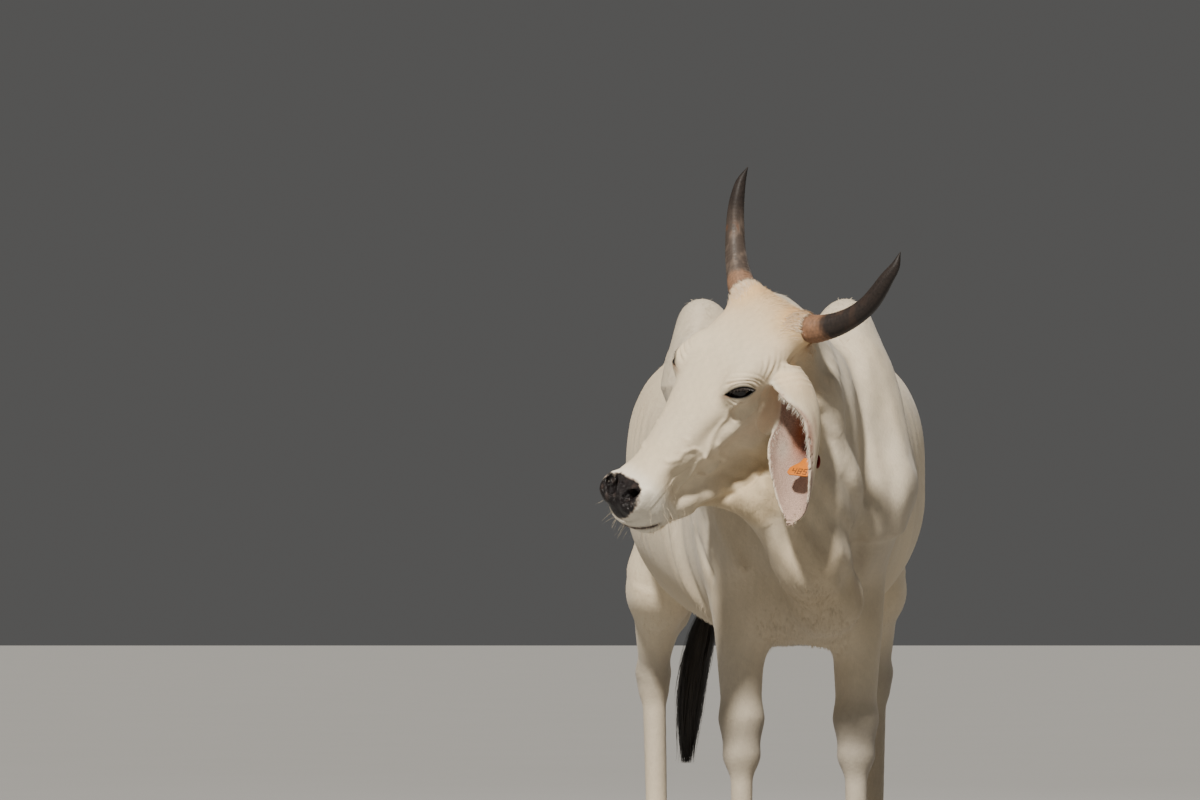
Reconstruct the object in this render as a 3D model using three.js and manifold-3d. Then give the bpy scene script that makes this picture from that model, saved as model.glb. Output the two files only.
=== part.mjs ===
// Brahman cow, adult and horned, life size, standing still with the head lowered and turned to its right.
// The flesh is one smooth implicit form made of named round cones, egg shapes and sectioned lofts.
// It is meshed region by region and parted with thin flat cuts, so neighbours meet without overlap.
// Tables are in metres; the finished group is in millimetres, +Z up, the cow faces -Y, its left is +X.
import * as THREE from "three";
import { mergeVertices } from "three/addons/utils/BufferGeometryUtils.js";
import Module from "manifold-3d";

const wasm = await Module();
wasm.setup();

// ---------------------------------------------------------------- driving sizes
const MM = 1000;                 // metres to millimetres
const GAP = 0.00035;             // gap left between neighbours
const ORIGIN = [-0.023404, 0.451639, 0];   // raw place of the finished part's bottom centre
const POLL = [-0.030, -0.400, 1.289];      // top of the head between the horns
const FACE_DIR = [-0.64, -0.13, -0.757];   // poll towards the muzzle
const LEFT_DIR = [0.684, -0.554, -0.474];  // the head's left, before it rolls
const HEAD_ROLL = 11;                      // degrees
const LEG_SHIFT = 0.030;         // the forelegs stand a little to the left of the spine
const FORE_X = 0.118, HIND_X = 0.242;      // half track of the feet
const FORE_FOOT_Y = -0.030, HIND_FOOT_Y = 1.190;
const HOOF_H = 0.072, HEEL_H = 0.045;      // hoof wall at the toe and at the heel
const CLAW_L = 0.118, CLAW_W = 0.049, CLAW_GAP = 0.008;
const EYE_R = 0.0205, EYE_A = 0.1965, EYE_B = 0.0875, EYE_C = -0.0035;
const EYE_OUT = [0.15, 0.84, 0.52];        // the way the opening of the lids looks, in the head's frame

// ---------------------------------------------------------------- small maths
const { abs, min, max, sqrt, hypot, cos, sin, PI, atan2, pow } = Math;
const clip = (v, a, b) => min(max(v, a), b);
const vadd = (a, b) => [a[0] + b[0], a[1] + b[1], a[2] + b[2]];
const vsub = (a, b) => [a[0] - b[0], a[1] - b[1], a[2] - b[2]];
const vmul = (a, s) => [a[0] * s, a[1] * s, a[2] * s];
const dot = (a, b) => a[0] * b[0] + a[1] * b[1] + a[2] * b[2];
const cross = (a, b) => [a[1] * b[2] - a[2] * b[1], a[2] * b[0] - a[0] * b[2], a[0] * b[1] - a[1] * b[0]];
const unit = (a) => vmul(a, 1 / sqrt(dot(a, a)));
const smin = (a, b, k) => { const h = max(k - abs(a - b), 0) / k; return min(a, b) - h * h * k * 0.25; };
const smax = (a, b, k) => -smin(-a, -b, k);

// curve through stations, with its slopes taken from the neighbours
function curve(xs, ys) {
  const n = xs.length, m = new Array(n);
  m[0] = (ys[1] - ys[0]) / (xs[1] - xs[0]);
  m[n - 1] = (ys[n - 1] - ys[n - 2]) / (xs[n - 1] - xs[n - 2]);
  for (let i = 1; i < n - 1; i++) {
    const h0 = xs[i] - xs[i - 1], h1 = xs[i + 1] - xs[i];
    m[i] = (h0 * h0 * ys[i + 1] + (h1 * h1 - h0 * h0) * ys[i] - h1 * h1 * ys[i - 1]) / (h0 * h1 * (h0 + h1));
  }
  return (x) => {
    let i = 0;
    while (i < n - 2 && x > xs[i + 1]) i++;
    const h = xs[i + 1] - xs[i], t = clip((x - xs[i]) / h, 0, 1), t2 = t * t, t3 = t2 * t;
    return (2 * t3 - 3 * t2 + 1) * ys[i] + (t3 - 2 * t2 + t) * h * m[i] + (-2 * t3 + 3 * t2) * ys[i + 1] + (t3 - t2) * h * m[i + 1];
  };
}
// egg shape: centre c, half axes r
function egg(p, c, r) {
  const x = p[0] - c[0], y = p[1] - c[1], z = p[2] - c[2];
  const k0 = sqrt((x / r[0]) ** 2 + (y / r[1]) ** 2 + (z / r[2]) ** 2);
  const k1 = sqrt((x / r[0] ** 2) ** 2 + (y / r[1] ** 2) ** 2 + (z / r[2] ** 2) ** 2);
  return k0 * (k0 - 1) / max(k1, 1e-9);
}
// round cone from a (radius ra) to b (radius rb), stretched about a by s
function cone(p, a, ra, b, rb, s = [1, 1, 1]) {
  const q = [(p[0] - a[0]) / s[0], (p[1] - a[1]) / s[1], (p[2] - a[2]) / s[2]];
  const ba = [(b[0] - a[0]) / s[0], (b[1] - a[1]) / s[1], (b[2] - a[2]) / s[2]];
  const L = sqrt(dot(ba, ba)), y = dot(q, ba) / L, x = sqrt(max(dot(q, q) - y * y, 0)), k = (ra - rb) / L;
  const t = clip(abs(k) < 0.999 ? (y + x * k / sqrt(1 - k * k)) / L : y / L, 0, 1);
  return (hypot(y - t * L, x) - (ra + (rb - ra) * t)) * min(s[0], s[1], s[2]);
}

// ---------------------------------------------------------------- the head's own frame: a along the face, b left, c out of the forehead
const Fh = unit(FACE_DIR);
const L0 = unit(vsub(LEFT_DIR, vmul(Fh, dot(LEFT_DIR, Fh))));
const U0 = cross(Fh, L0);
const RR = HEAD_ROLL * PI / 180;
const Lh = vadd(vmul(L0, cos(RR)), vmul(U0, sin(RR)));
const Uh = vsub(vmul(U0, cos(RR)), vmul(L0, sin(RR)));
const toHead = (p) => { const q = vsub(p, POLL); return [dot(q, Fh), dot(q, Lh), dot(q, Uh)]; };
const fromHead = (q) => vadd(POLL, vadd(vmul(Fh, q[0]), vadd(vmul(Lh, q[1]), vmul(Uh, q[2]))));

// ---------------------------------------------------------------- trunk: stations along the spine
const TRUNK_Y = [-0.20, -0.10, 0.05, 0.20, 0.40, 0.60, 0.80, 0.95, 1.10, 1.25, 1.38, 1.46];
const halfW = curve(TRUNK_Y, [0.050, 0.105, 0.165, 0.220, 0.288, 0.320, 0.322, 0.300, 0.240, 0.185, 0.135, 0.100]);
const topZ = curve(TRUNK_Y, [1.10, 1.16, 1.20, 1.235, 1.238, 1.240, 1.250, 1.270, 1.285, 1.275, 1.230, 1.190]);
const botZ = curve(TRUNK_Y, [0.72, 0.64, 0.60, 0.590, 0.600, 0.615, 0.628, 0.672, 0.735, 0.810, 0.880, 0.920]);
const midZ = curve(TRUNK_Y, [0.86, 0.86, 0.88, 0.900, 0.920, 0.930, 0.930, 0.960, 1.000, 1.030, 1.050, 1.060]);
const boxy = curve(TRUNK_Y, [2.3, 2.3, 2.3, 2.4, 2.8, 3.1, 3.2, 3.1, 2.8, 2.5, 2.4, 2.3]);
function trunk(p) {
  const y = p[1], w = halfW(y), zc = midZ(y), up = p[2] > zc;
  const h = up ? topZ(y) - zc : zc - botZ(y), v = abs(p[2] - zc) / h, u = abs(p[0]) / w, e = up ? boxy(y) : 2.2;
  const d = (pow(pow(u, e) + pow(v, e), 1 / e) - 1) * min(w, h);
  return smax(d, abs(y - 0.63) - 0.80, 0.16);
}
function body(p) {
  const [x, y, z] = p, q = [abs(x), y, z];
  let d = trunk(p);
  // shoulders: the right arm is tucked in below the blade
  const tuck = x < 0 ? 0.55 * clip((1.13 - z) / 0.28, 0, 1) * clip((0.35 - y) / 0.25, 0, 1) : 0;
  const s = [abs(x + 0.018 * clip((z - 1.0) / 0.3, 0, 1)) * (1 + tuck), y, z];
  d = smin(d, egg(s, [0.165, 0.070, 1.020], [0.092, 0.150, 0.240]), 0.07);
  d = smin(d, cone(s, [0.143, 0.135, 1.262], 0.046, [0.205, -0.040, 0.940], 0.062), 0.05);   // blade
  d = smin(d, egg(s, [0.155, 0.150, 1.235], [0.050, 0.100, 0.075]), 0.04);
  d = smin(d, egg(s, [0.195, 0.100, 0.955], [0.072, 0.120, 0.110]), 0.04);                   // triceps
  d = smin(d, egg(s, [0.155, -0.025, 0.870], [0.080, 0.095, 0.130]), 0.06);                  // point of shoulder
  d = smin(d, egg(p, [-0.024, 0.075, 1.228], [0.068, 0.190, 0.096]), 0.05);                  // hump
  d = smin(d, egg(q, [0.185, 1.060, 1.215], [0.045, 0.075, 0.055]), 0.06);                   // hook of the hip
  d = smin(d, egg(q, [0.150, 1.240, 0.980], [0.105, 0.170, 0.250]), 0.09);                   // thigh
  d = smin(d, egg(q, [0.105, 1.385, 1.100], [0.055, 0.060, 0.070]), 0.08);                   // pin bone
  d = smin(d, egg(q, [0.170, 1.050, 0.860], [0.085, 0.150, 0.150]), 0.08);                   // stifle
  d = smin(d, cone(q, [0.150, 1.330, 0.860], 0.085, [0.225, 1.260, 0.660], 0.052), 0.07);     // back of the thigh
  d = smin(d, egg(p, [0.0, 1.040, 0.715], [0.110, 0.130, 0.095]), 0.06);                     // udder
  return d;
}
const TAIL = [[0, 1.360, 1.195, 0.042], [0, 1.462, 1.168, 0.030], [-0.004, 1.502, 1.080, 0.022], [-0.030, 1.502, 0.960, 0.018], [-0.085, 1.500, 0.800, 0.015], [-0.135, 1.495, 0.640, 0.012]];
function tail(p) {
  let d = 9;
  for (let i = 1; i + 1 < TAIL.length; i++) {
    const a = TAIL[i], b = TAIL[i + 1];
    d = smin(d, cone(p, a, a[3], b, b[3]), 0.02);
  }
  return d;
}
function legs(p) {
  const [x, y, z] = p;
  const q = [abs(x - LEG_SHIFT * clip((1.0 - z) / 0.3, 0, 1)), y, z];
  let d = cone(q, [0.125, 0.070, 0.840], 0.070, [FORE_X, 0.030, 0.450], 0.043, [1, 1.3, 1]);
  d = smin(d, cone(q, [FORE_X, 0.025, 0.440], 0.044, [FORE_X, 0.020, 0.375], 0.041, [1, 1.1, 1]), 0.03);
  d = smin(d, cone(q, [FORE_X, 0.025, 0.360], 0.031, [FORE_X, 0.025, 0.170], 0.027, [1, 1.2, 1]), 0.03);
  d = smin(d, egg(q, [FORE_X, 0.025, 0.155], [0.036, 0.042, 0.040]), 0.03);
  d = smin(d, cone(q, [FORE_X, 0.015, 0.140], 0.033, [FORE_X, -0.015, 0.060], 0.040, [1, 1.1, 1]), 0.02);
  d = smin(d, egg([abs(q[0] - FORE_X), y, z], [0.022, 0.066, 0.118], [0.014, 0.014, 0.018]), 0.030);   // dewclaws
  const r = [abs(x + 0.01), y, z];
  let e = cone(r, [0.190, 1.080, 0.860], 0.105, [0.235, 1.100, 0.700], 0.075, [1, 1.3, 1]);
  e = smin(e, cone(r, [0.235, 1.100, 0.740], 0.072, [0.250, 1.270, 0.530], 0.036, [1, 1.2, 1]), 0.04);
  e = smin(e, cone(r, [0.250, 1.310, 0.620], 0.012, [0.250, 1.335, 0.540], 0.018), 0.05);            // heel string
  e = smin(e, egg(r, [0.250, 1.285, 0.510], [0.038, 0.052, 0.055]), 0.03);
  e = smin(e, cone(r, [0.248, 1.280, 0.470], 0.034, [HIND_X, 1.250, 0.170], 0.029, [1, 1.25, 1]), 0.03);
  e = smin(e, egg(r, [HIND_X, 1.250, 0.155], [0.037, 0.045, 0.042]), 0.03);
  e = smin(e, cone(r, [HIND_X, 1.240, 0.140], 0.034, [HIND_X, 1.205, 0.060], 0.042, [1, 1.1, 1]), 0.02);
  e = smin(e, egg([abs(r[0] - HIND_X), y, z], [0.022, 1.292, 0.118], [0.014, 0.014, 0.018]), 0.030);
  return min(d, e);
}
const DEWLAP = [[-0.160, -0.345, 0.905, 0.026], [-0.068, -0.335, 0.900, 0.046], [0.041, -0.265, 0.778, 0.070], [0.084, -0.150, 0.692, 0.066], [0.080, -0.020, 0.660, 0.055]];
function neck(p) {
  const s = [1, 1, 1.75];
  let d = cone(p, [0, 0.060, 1.030], 0.135, [0.030, -0.130, 1.040], 0.110, s);
  d = smin(d, cone(p, [0.030, -0.130, 1.040], 0.110, [0.025, -0.290, 1.090], 0.088, s), 0.05);
  d = smin(d, cone(p, [0, -0.200, 1.200], 0.055, fromHead([0.03, 0, -0.085]), 0.055), 0.06);
  d = smin(d, cone(p, fromHead([0.24, 0, -0.17]), 0.050, [0.045, -0.250, 0.920], 0.075), 0.07);   // throat
  d = smin(d, egg(p, [0.050, -0.190, 0.880], [0.085, 0.140, 0.180]), 0.07);                       // chest front
  for (let i = 0; i + 1 < DEWLAP.length; i++) d = smin(d, cone(p, DEWLAP[i], DEWLAP[i][3], DEWLAP[i + 1], DEWLAP[i + 1][3]), 0.045);
  return d;
}
const HEAD_A = [-0.06, -0.02, 0.03, 0.08, 0.13, 0.18, 0.24, 0.30, 0.36, 0.42, 0.46, 0.50, 0.535];
const browW = curve(HEAD_A, [0.060, 0.085, 0.100, 0.113, 0.115, 0.106, 0.094, 0.078, 0.065, 0.058, 0.062, 0.061, 0.050]);
const jawW = curve(HEAD_A, [0.050, 0.056, 0.062, 0.068, 0.070, 0.068, 0.062, 0.055, 0.047, 0.040, 0.038, 0.036, 0.030]);
const browC = curve(HEAD_A, [-0.045, -0.012, 0.010, 0.020, 0.022, 0.020, 0.014, 0.004, -0.006, -0.012, -0.008, -0.013, -0.035]);
const jawC = curve(HEAD_A, [-0.10, -0.13, -0.155, -0.18, -0.20, -0.215, -0.222, -0.215, -0.190, -0.160, -0.145, -0.137, -0.120]);
const JAW = [[0.15, 0.055, -0.170, 0.030], [0.29, 0.043, -0.197, 0.029], [0.36, 0.036, -0.168, 0.026], [0.42, 0.030, -0.141, 0.022], [0.49, 0.018, -0.114, 0.020]];
function head(p) {
  const [a, b, c] = toHead(p), ct = browC(a), cb = jawC(a), wb = jawW(a);
  const m = ct - 0.30 * (ct - cb), up = c > m, h = up ? ct - m : m - cb;
  const w = wb + (browW(a) - wb) * clip(((c - cb) / (ct - cb) - 0.15) * 1.6, 0, 1);
  const e = up ? 3.0 : 2.4;
  let d = (pow(pow(abs(b) / w, e) + pow(abs(c - m) / h, e), 1 / e) - 1) * min(w, h);
  d = smax(d, abs(a - 0.268) - 0.269, 0.05);
  const q = [a, abs(b), c];
  d = smin(d, egg(q, [0.180, 0.082, 0.004], [0.048, 0.026, 0.026]), 0.03);                    // brow
  d = smin(d, cone(q, [0.20, 0.088, -0.060], 0.018, [0.32, 0.062, -0.065], 0.012), 0.03);     // cheek ridge
  d = smin(d, egg(q, [0.17, 0.072, -0.120], [0.090, 0.028, 0.085]), 0.03);                    // cheek muscle
  for (let i = 0; i + 1 < JAW.length; i++) d = smin(d, cone(q, JAW[i], JAW[i][3], JAW[i + 1], JAW[i + 1][3]), 0.030);
  d = smin(d, cone(q, [0.022, 0.03, -0.042], 0.040, [0.013, 0.085, -0.022], 0.034), 0.04);      // poll and horn seats
  d = smin(d, egg([a, b, c], [0.480, 0, -0.075], [0.047, 0.063, 0.055]), 0.03);               // muzzle
  return d;
}
const tailHead = (p) => cone(p, TAIL[0], TAIL[0][3], TAIL[1], TAIL[1][3]);
// the jaw parts from the throat with a sharper crease than the poll from the neck
function crease(p) {
  const [a, , c] = toHead(p);
  return 0.035 - 0.024 * clip((a - 0.14) / 0.08, 0, 1) * clip((-0.09 - c) / 0.05, 0, 1);
}
const flesh = (p) => smin(smin(smin(smin(smin(body(p), tailHead(p), 0.05), legs(p), 0.05), neck(p), 0.07), head(p), crease(p)), tail(p), 0.012);

// ---------------------------------------------------------------- meshing the flesh in a box
// Sign patterns of a cell's eight corners through which the surface passes as one sheet
const joined = (mask) => {
  let seen = mask & -mask, before = 0;
  while (seen !== before) {
    before = seen;
    for (let c = 0; c < 8; c++) if (seen >> c & 1) for (const e of [1, 2, 4]) if (mask >> (c ^ e) & 1) seen |= 1 << (c ^ e);
  }
  return seen === mask;
};
const ONE_SHEET = Array.from({ length: 256 }, (_, m) => joined(m) && joined(255 ^ m));
// Returns a solid of the part of f < iso inside the box lo..hi, with cells of size h.
function meshField(f, lo, hi, h, keep, iso = 0) {
  const pad = 1.5, n = [0, 1, 2].map((i) => Math.ceil((hi[i] - lo[i]) / h[i]) + 2 * Math.ceil(pad));
  const o = [0, 1, 2].map((i) => (lo[i] + hi[i]) / 2 - n[i] * h[i] / 2);
  const [nx, ny, nz] = n.map((v) => v + 1);
  const F = new Float64Array(nx * ny * nz), at = (i, j, k) => (i * ny + j) * nz + k;
  const inBox = (i, j, k) => i > 0 && j > 0 && k > 0 && i < nx - 1 && j < ny - 1 && k < nz - 1;
  for (let i = 0; i < nx; i++) for (let j = 0; j < ny; j++) for (let k = 0; k < nz; k++) {
    const v = f([o[0] + i * h[0], o[1] + j * h[1], o[2] + k * h[2]]) - iso;
    F[at(i, j, k)] = inBox(i, j, k) ? v : max(v, 1e-3);
  }
  const cellId = new Int32Array(nx * ny * nz).fill(-1), verts = [], tris = [];
  const C8 = []; for (let i = 0; i < 2; i++) for (let j = 0; j < 2; j++) for (let k = 0; k < 2; k++) C8.push([i, j, k]);
  // fill the corner nearest the surface wherever two sheets would touch in one cell
  for (let again = true; again;) {
    again = false;
    for (let i = 0; i < nx - 1; i++) for (let j = 0; j < ny - 1; j++) for (let k = 0; k < nz - 1; k++) {
      let mask = 0; C8.forEach((c, b) => { if (F[at(i + c[0], j + c[1], k + c[2])] < 0) mask |= 1 << b; });
      if (ONE_SHEET[mask]) continue;
      let bc = -1, bv = Infinity;
      for (const c of C8) { const q = at(i + c[0], j + c[1], k + c[2]); if (F[q] >= 0 && F[q] < bv && inBox(i + c[0], j + c[1], k + c[2])) { bv = F[q]; bc = q; } }
      if (bc < 0) continue;
      F[bc] = -1e-6; again = true;
    }
  }
  for (let i = 0; i < nx - 1; i++) for (let j = 0; j < ny - 1; j++) for (let k = 0; k < nz - 1; k++) {
    let neg = 0; for (const c of C8) if (F[at(i + c[0], j + c[1], k + c[2])] < 0) neg++;
    if (neg === 0 || neg === 8) continue;
    let s = [0, 0, 0], cnt = 0;
    for (const c of C8) for (let ax = 0; ax < 3; ax++) {
      if (c[ax]) continue;
      const e = c.slice(); e[ax] = 1;
      const fa = F[at(i + c[0], j + c[1], k + c[2])], fb = F[at(i + e[0], j + e[1], k + e[2])];
      if ((fa < 0) === (fb < 0)) continue;
      const t = fa / (fa - fb), g = [i + c[0], j + c[1], k + c[2]]; g[ax] += t;
      s = vadd(s, g); cnt++;
    }
    let p = [0, 1, 2].map((q) => o[q] + (s[q] / cnt) * h[q]);
    if (inBox(i, j, k) && inBox(i + 1, j + 1, k + 1)) {
      // settle the vertex on the surface
      const p0 = p.slice(), e = 1e-4;
      for (let it = 0; it < 4; it++) {
        const v = f(p) - iso, g = [0, 1, 2].map((q) => { const a = p.slice(), b = p.slice(); a[q] += e; b[q] -= e; return (f(a) - f(b)) / (2 * e); });
        const gg = max(dot(g, g), 0.04);
        p = vsub(p, vmul(g, v / gg));
        p = p.map((v2, q) => clip(v2, p0[q] - 0.5 * h[q], p0[q] + 0.5 * h[q]));
      }
    }
    cellId[at(i, j, k)] = verts.length; verts.push(p);
  }
  const quad = (a, b, c, d, flip) => {
    if (a < 0 || b < 0 || c < 0 || d < 0) return;
    const dd = (p, q) => { const v = vsub(verts[p], verts[q]); return dot(v, v); };
    const t = dd(a, c) < dd(b, d) ? [[a, b, c], [a, c, d]] : [[a, b, d], [b, c, d]];
    for (const [x, y, z] of t) flip ? tris.push(x, z, y) : tris.push(x, y, z);
  };
  for (let i = 0; i < nx - 1; i++) for (let j = 0; j < ny - 1; j++) for (let k = 0; k < nz - 1; k++) {
    const v = F[at(i, j, k)] < 0;
    if (j > 0 && k > 0 && v !== F[at(i + 1, j, k)] < 0) quad(cellId[at(i, j - 1, k - 1)], cellId[at(i, j, k - 1)], cellId[at(i, j, k)], cellId[at(i, j - 1, k)], !v);
    if (i > 0 && k > 0 && v !== F[at(i, j + 1, k)] < 0) quad(cellId[at(i - 1, j, k - 1)], cellId[at(i - 1, j, k)], cellId[at(i, j, k)], cellId[at(i, j, k - 1)], !v);
    if (i > 0 && j > 0 && v !== F[at(i, j, k + 1)] < 0) quad(cellId[at(i - 1, j - 1, k)], cellId[at(i, j - 1, k)], cellId[at(i, j, k)], cellId[at(i - 1, j, k)], !v);
  }
  return thin(verts, tris, keep);
}
// Thins a closed mesh to about keep triangles: the edge whose removal bends the surface least goes first.
function thin(verts, tris, keep) {
  const V = verts.map((v) => v.slice()), T = []; for (let i = 0; i < tris.length; i += 3) T.push([tris[i], tris[i + 1], tris[i + 2]]);
  const Q = V.map(() => new Float64Array(10)), alive = T.map(() => true), around = V.map(() => new Set());
  const normal = (a, b, c) => cross(vsub(b, a), vsub(c, a));
  T.forEach((t, i) => {
    const n = normal(V[t[0]], V[t[1]], V[t[2]]), A = sqrt(dot(n, n)) || 1e-12, m = vmul(n, 1 / A), d = -dot(m, V[t[0]]);
    const k = [m[0] * m[0], m[0] * m[1], m[0] * m[2], m[0] * d, m[1] * m[1], m[1] * m[2], m[1] * d, m[2] * m[2], m[2] * d, d * d];
    for (const v of t) { around[v].add(i); for (let j = 0; j < 10; j++) Q[v][j] += k[j] * A; }
  });
  const err = (q, p) => q[0] * p[0] * p[0] + 2 * q[1] * p[0] * p[1] + 2 * q[2] * p[0] * p[2] + 2 * q[3] * p[0] + q[4] * p[1] * p[1] + 2 * q[5] * p[1] * p[2] + 2 * q[6] * p[1] + q[7] * p[2] * p[2] + 2 * q[8] * p[2] + q[9];
  const best = (u, v) => {
    const q = Q[u].map((x, j) => x + Q[v][j]), mid = vmul(vadd(V[u], V[v]), 0.5), cand = [mid, V[u], V[v]];
    const A = [[q[0], q[1], q[2]], [q[1], q[4], q[5]], [q[2], q[5], q[7]]], r = [-q[3], -q[6], -q[8]];
    const det = dot(A[0], cross(A[1], A[2])), tr = q[0] + q[4] + q[7];
    if (abs(det) > 1e-4 * tr * tr * tr) {
      const c = [cross(A[1], A[2]), cross(A[2], A[0]), cross(A[0], A[1])];
      const p = [0, 1, 2].map((j) => (c[0][j] * r[0] + c[1][j] * r[1] + c[2][j] * r[2]) / det);
      const e = vsub(V[u], V[v]), f = vsub(p, mid);
      if (dot(f, f) < dot(e, e)) cand.unshift(p);
    }
    let bp = mid, be = Infinity;
    for (const p of cand) { const e = err(q, p); if (e < be) { be = e; bp = p; } }
    const l = vsub(V[u], V[v]);
    return [be + 1e-5 * dot(l, l) * dot(l, l), bp];
  };
  const nbr = (v) => { const s = new Set(); for (const i of around[v]) for (const w of T[i]) if (w !== v) s.add(w); return s; };
  let count = T.length;
  while (count > keep) {
    const E = [];
    for (let u = 0; u < V.length; u++) if (around[u].size) for (const v of nbr(u)) if (v > u) { const [c, p] = best(u, v); E.push([c, u, v, p]); }
    E.sort((a, b) => a[0] - b[0]);
    const lim = E[Math.floor(E.length * 0.30)][0], used = new Uint8Array(V.length), before = count;
    for (const [c, u, v, p] of E) {
      if (count <= keep || c > lim) break;
      if (used[u] || used[v]) continue;
      const nu = nbr(u), nv = nbr(v), both = [...nu].filter((w) => nv.has(w));
      if (both.length !== 2) continue;
      if (both.some((w) => around[w].size <= 3)) continue;
      let ok = true;
      for (const s of [u, v]) for (const i of around[s]) {
        if (T[i].includes(u) && T[i].includes(v)) continue;
        const o = T[i].map((w) => V[w]), q = T[i].map((w) => (w === s ? p : V[w])), n0 = normal(...o), n1 = normal(...q);
        const l1 = sqrt(dot(n1, n1)), e = [vsub(q[0], q[1]), vsub(q[1], q[2]), vsub(q[2], q[0])].reduce((a, x) => max(a, dot(x, x)), 0);
        if (dot(n0, n1) < 0.45 * sqrt(dot(n0, n0)) * l1 || l1 < 0.10 * e) { ok = false; break; }
      }
      if (!ok) continue;
      V[u] = p; for (let j = 0; j < 10; j++) Q[u][j] += Q[v][j];
      for (const i of [...around[v]]) {
        if (T[i].includes(u)) { alive[i] = false; for (const w of T[i]) around[w].delete(i); count--; }
        else { T[i] = T[i].map((w) => (w === v ? u : w)); around[u].add(i); }
      }
      around[v].clear();
      used[u] = 1; for (const w of nu) used[w] = 1; for (const w of nv) used[w] = 1;
    }
    if (count === before) break;
  }
  const id = new Map(), pos = [], out = [];
  T.forEach((t, i) => { if (alive[i]) for (const v of t) { if (!id.has(v)) { id.set(v, pos.length / 3); pos.push(...V[v]); } out.push(id.get(v)); } });
  return solid(pos, out);
}
function solid(pos, tris) {
  return new wasm.Manifold(new wasm.Mesh({ numProp: 3, vertProperties: Float32Array.from(pos), triVerts: Uint32Array.from(tris) }));
}
function fromGeometry(geo) {
  const g = geo.clone(); g.deleteAttribute("normal"); g.deleteAttribute("uv");
  const m = mergeVertices(g, 1e-6);
  return solid(Array.from(m.attributes.position.array), Array.from(m.index.array));
}
// the same solid with its skin pushed out by d
function inflate(m, d) {
  const mesh = m.getMesh(), n = mesh.numVert, V = [], N = [];
  for (let i = 0; i < n; i++) { V.push([0, 1, 2].map((k) => mesh.vertProperties[i * mesh.numProp + k])); N.push([0, 0, 0]); }
  for (let i = 0; i < mesh.numTri; i++) {
    const t = [0, 1, 2].map((k) => mesh.triVerts[3 * i + k]), c = cross(vsub(V[t[1]], V[t[0]]), vsub(V[t[2]], V[t[0]]));
    for (const v of t) N[v] = vadd(N[v], c);
  }
  return solid(V.flatMap((v, i) => vadd(v, vmul(unit(N[i]), d))), Array.from(mesh.triVerts));
}
// box between two corners
function box(lo, hi) {
  const g = new THREE.BoxGeometry(hi[0] - lo[0], hi[1] - lo[1], hi[2] - lo[2]);
  g.translate((lo[0] + hi[0]) / 2, (lo[1] + hi[1]) / 2, (lo[2] + hi[2]) / 2);
  return fromGeometry(g);
}
// big slab on the side of a plane (point p, normal n) that n points to, pushed off the plane by off
function side(p, n, off = 0, size = 3) {
  const g = new THREE.BoxGeometry(size, size, size);
  g.translate(0, 0, size / 2 + off);
  const q = new THREE.Quaternion().setFromUnitVectors(new THREE.Vector3(0, 0, 1), new THREE.Vector3(...unit(n)));
  g.applyQuaternion(q); g.translate(...p);
  return fromGeometry(g);
}
// closed skin over rings of equally many points, with a centre point at each end
function ringSolid(rings, tip0, tip1) {
  const n = rings[0].length, pos = [], tris = [];
  for (const r of rings) for (const p of r) pos.push(...p);
  const a = pos.length / 3; pos.push(...tip0, ...tip1);
  for (let i = 0; i + 1 < rings.length; i++) for (let j = 0; j < n; j++) {
    const k = (j + 1) % n, p = i * n + j, q = i * n + k, r = p + n, s = q + n;
    tris.push(p, q, s, p, s, r);
  }
  for (let j = 0; j < n; j++) {
    const k = (j + 1) % n, l = (rings.length - 1) * n;
    tris.push(a, k, j, a + 1, l + j, l + k);
  }
  let m = solid(pos, tris);
  if (m.volume() < 0) {
    const t = []; for (let i = 0; i < tris.length; i += 3) t.push(tris[i], tris[i + 2], tris[i + 1]);
    m = solid(pos, t);
  }
  return m;
}
const centre = (ring) => vmul(ring.reduce((s, p) => vadd(s, p), [0, 0, 0]), 1 / ring.length);

// ---------------------------------------------------------------- materials
const paint = (color, roughness, metalness = 0) => new THREE.MeshStandardMaterial({ color, roughness, metalness });
const COAT = paint(0xd8cfc0, 0.85), PAD = paint(0x3a3436, 0.55), HORN = paint(0x3b352f, 0.45), HOOF = paint(0x2e2a27, 0.6);
const EYE = paint(0x17110d, 0.08), EARIN = paint(0xc9a79b, 0.8), TAG = paint(0xf08a24, 0.5), STUD = paint(0x5a1712, 0.5), SWITCH = paint(0x1b1917, 0.8);
const root = new THREE.Group();
root.name = "cow";
let total = 0;
function add(name, m, material) {
  const mesh = m.getMesh(), pos = new Float32Array(mesh.numVert * 3);
  for (let i = 0; i < mesh.numVert; i++) for (let k = 0; k < 3; k++) pos[3 * i + k] = (mesh.vertProperties[i * mesh.numProp + k] - ORIGIN[k]) * MM;
  const g = new THREE.BufferGeometry();
  g.setAttribute("position", new THREE.BufferAttribute(pos, 3));
  g.setIndex(new THREE.BufferAttribute(Uint32Array.from(mesh.triVerts), 1));
  g.computeVertexNormals();
  const o = new THREE.Mesh(g, material); o.name = name;
  root.add(o); total += mesh.numTri;
  return o;
}

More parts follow.
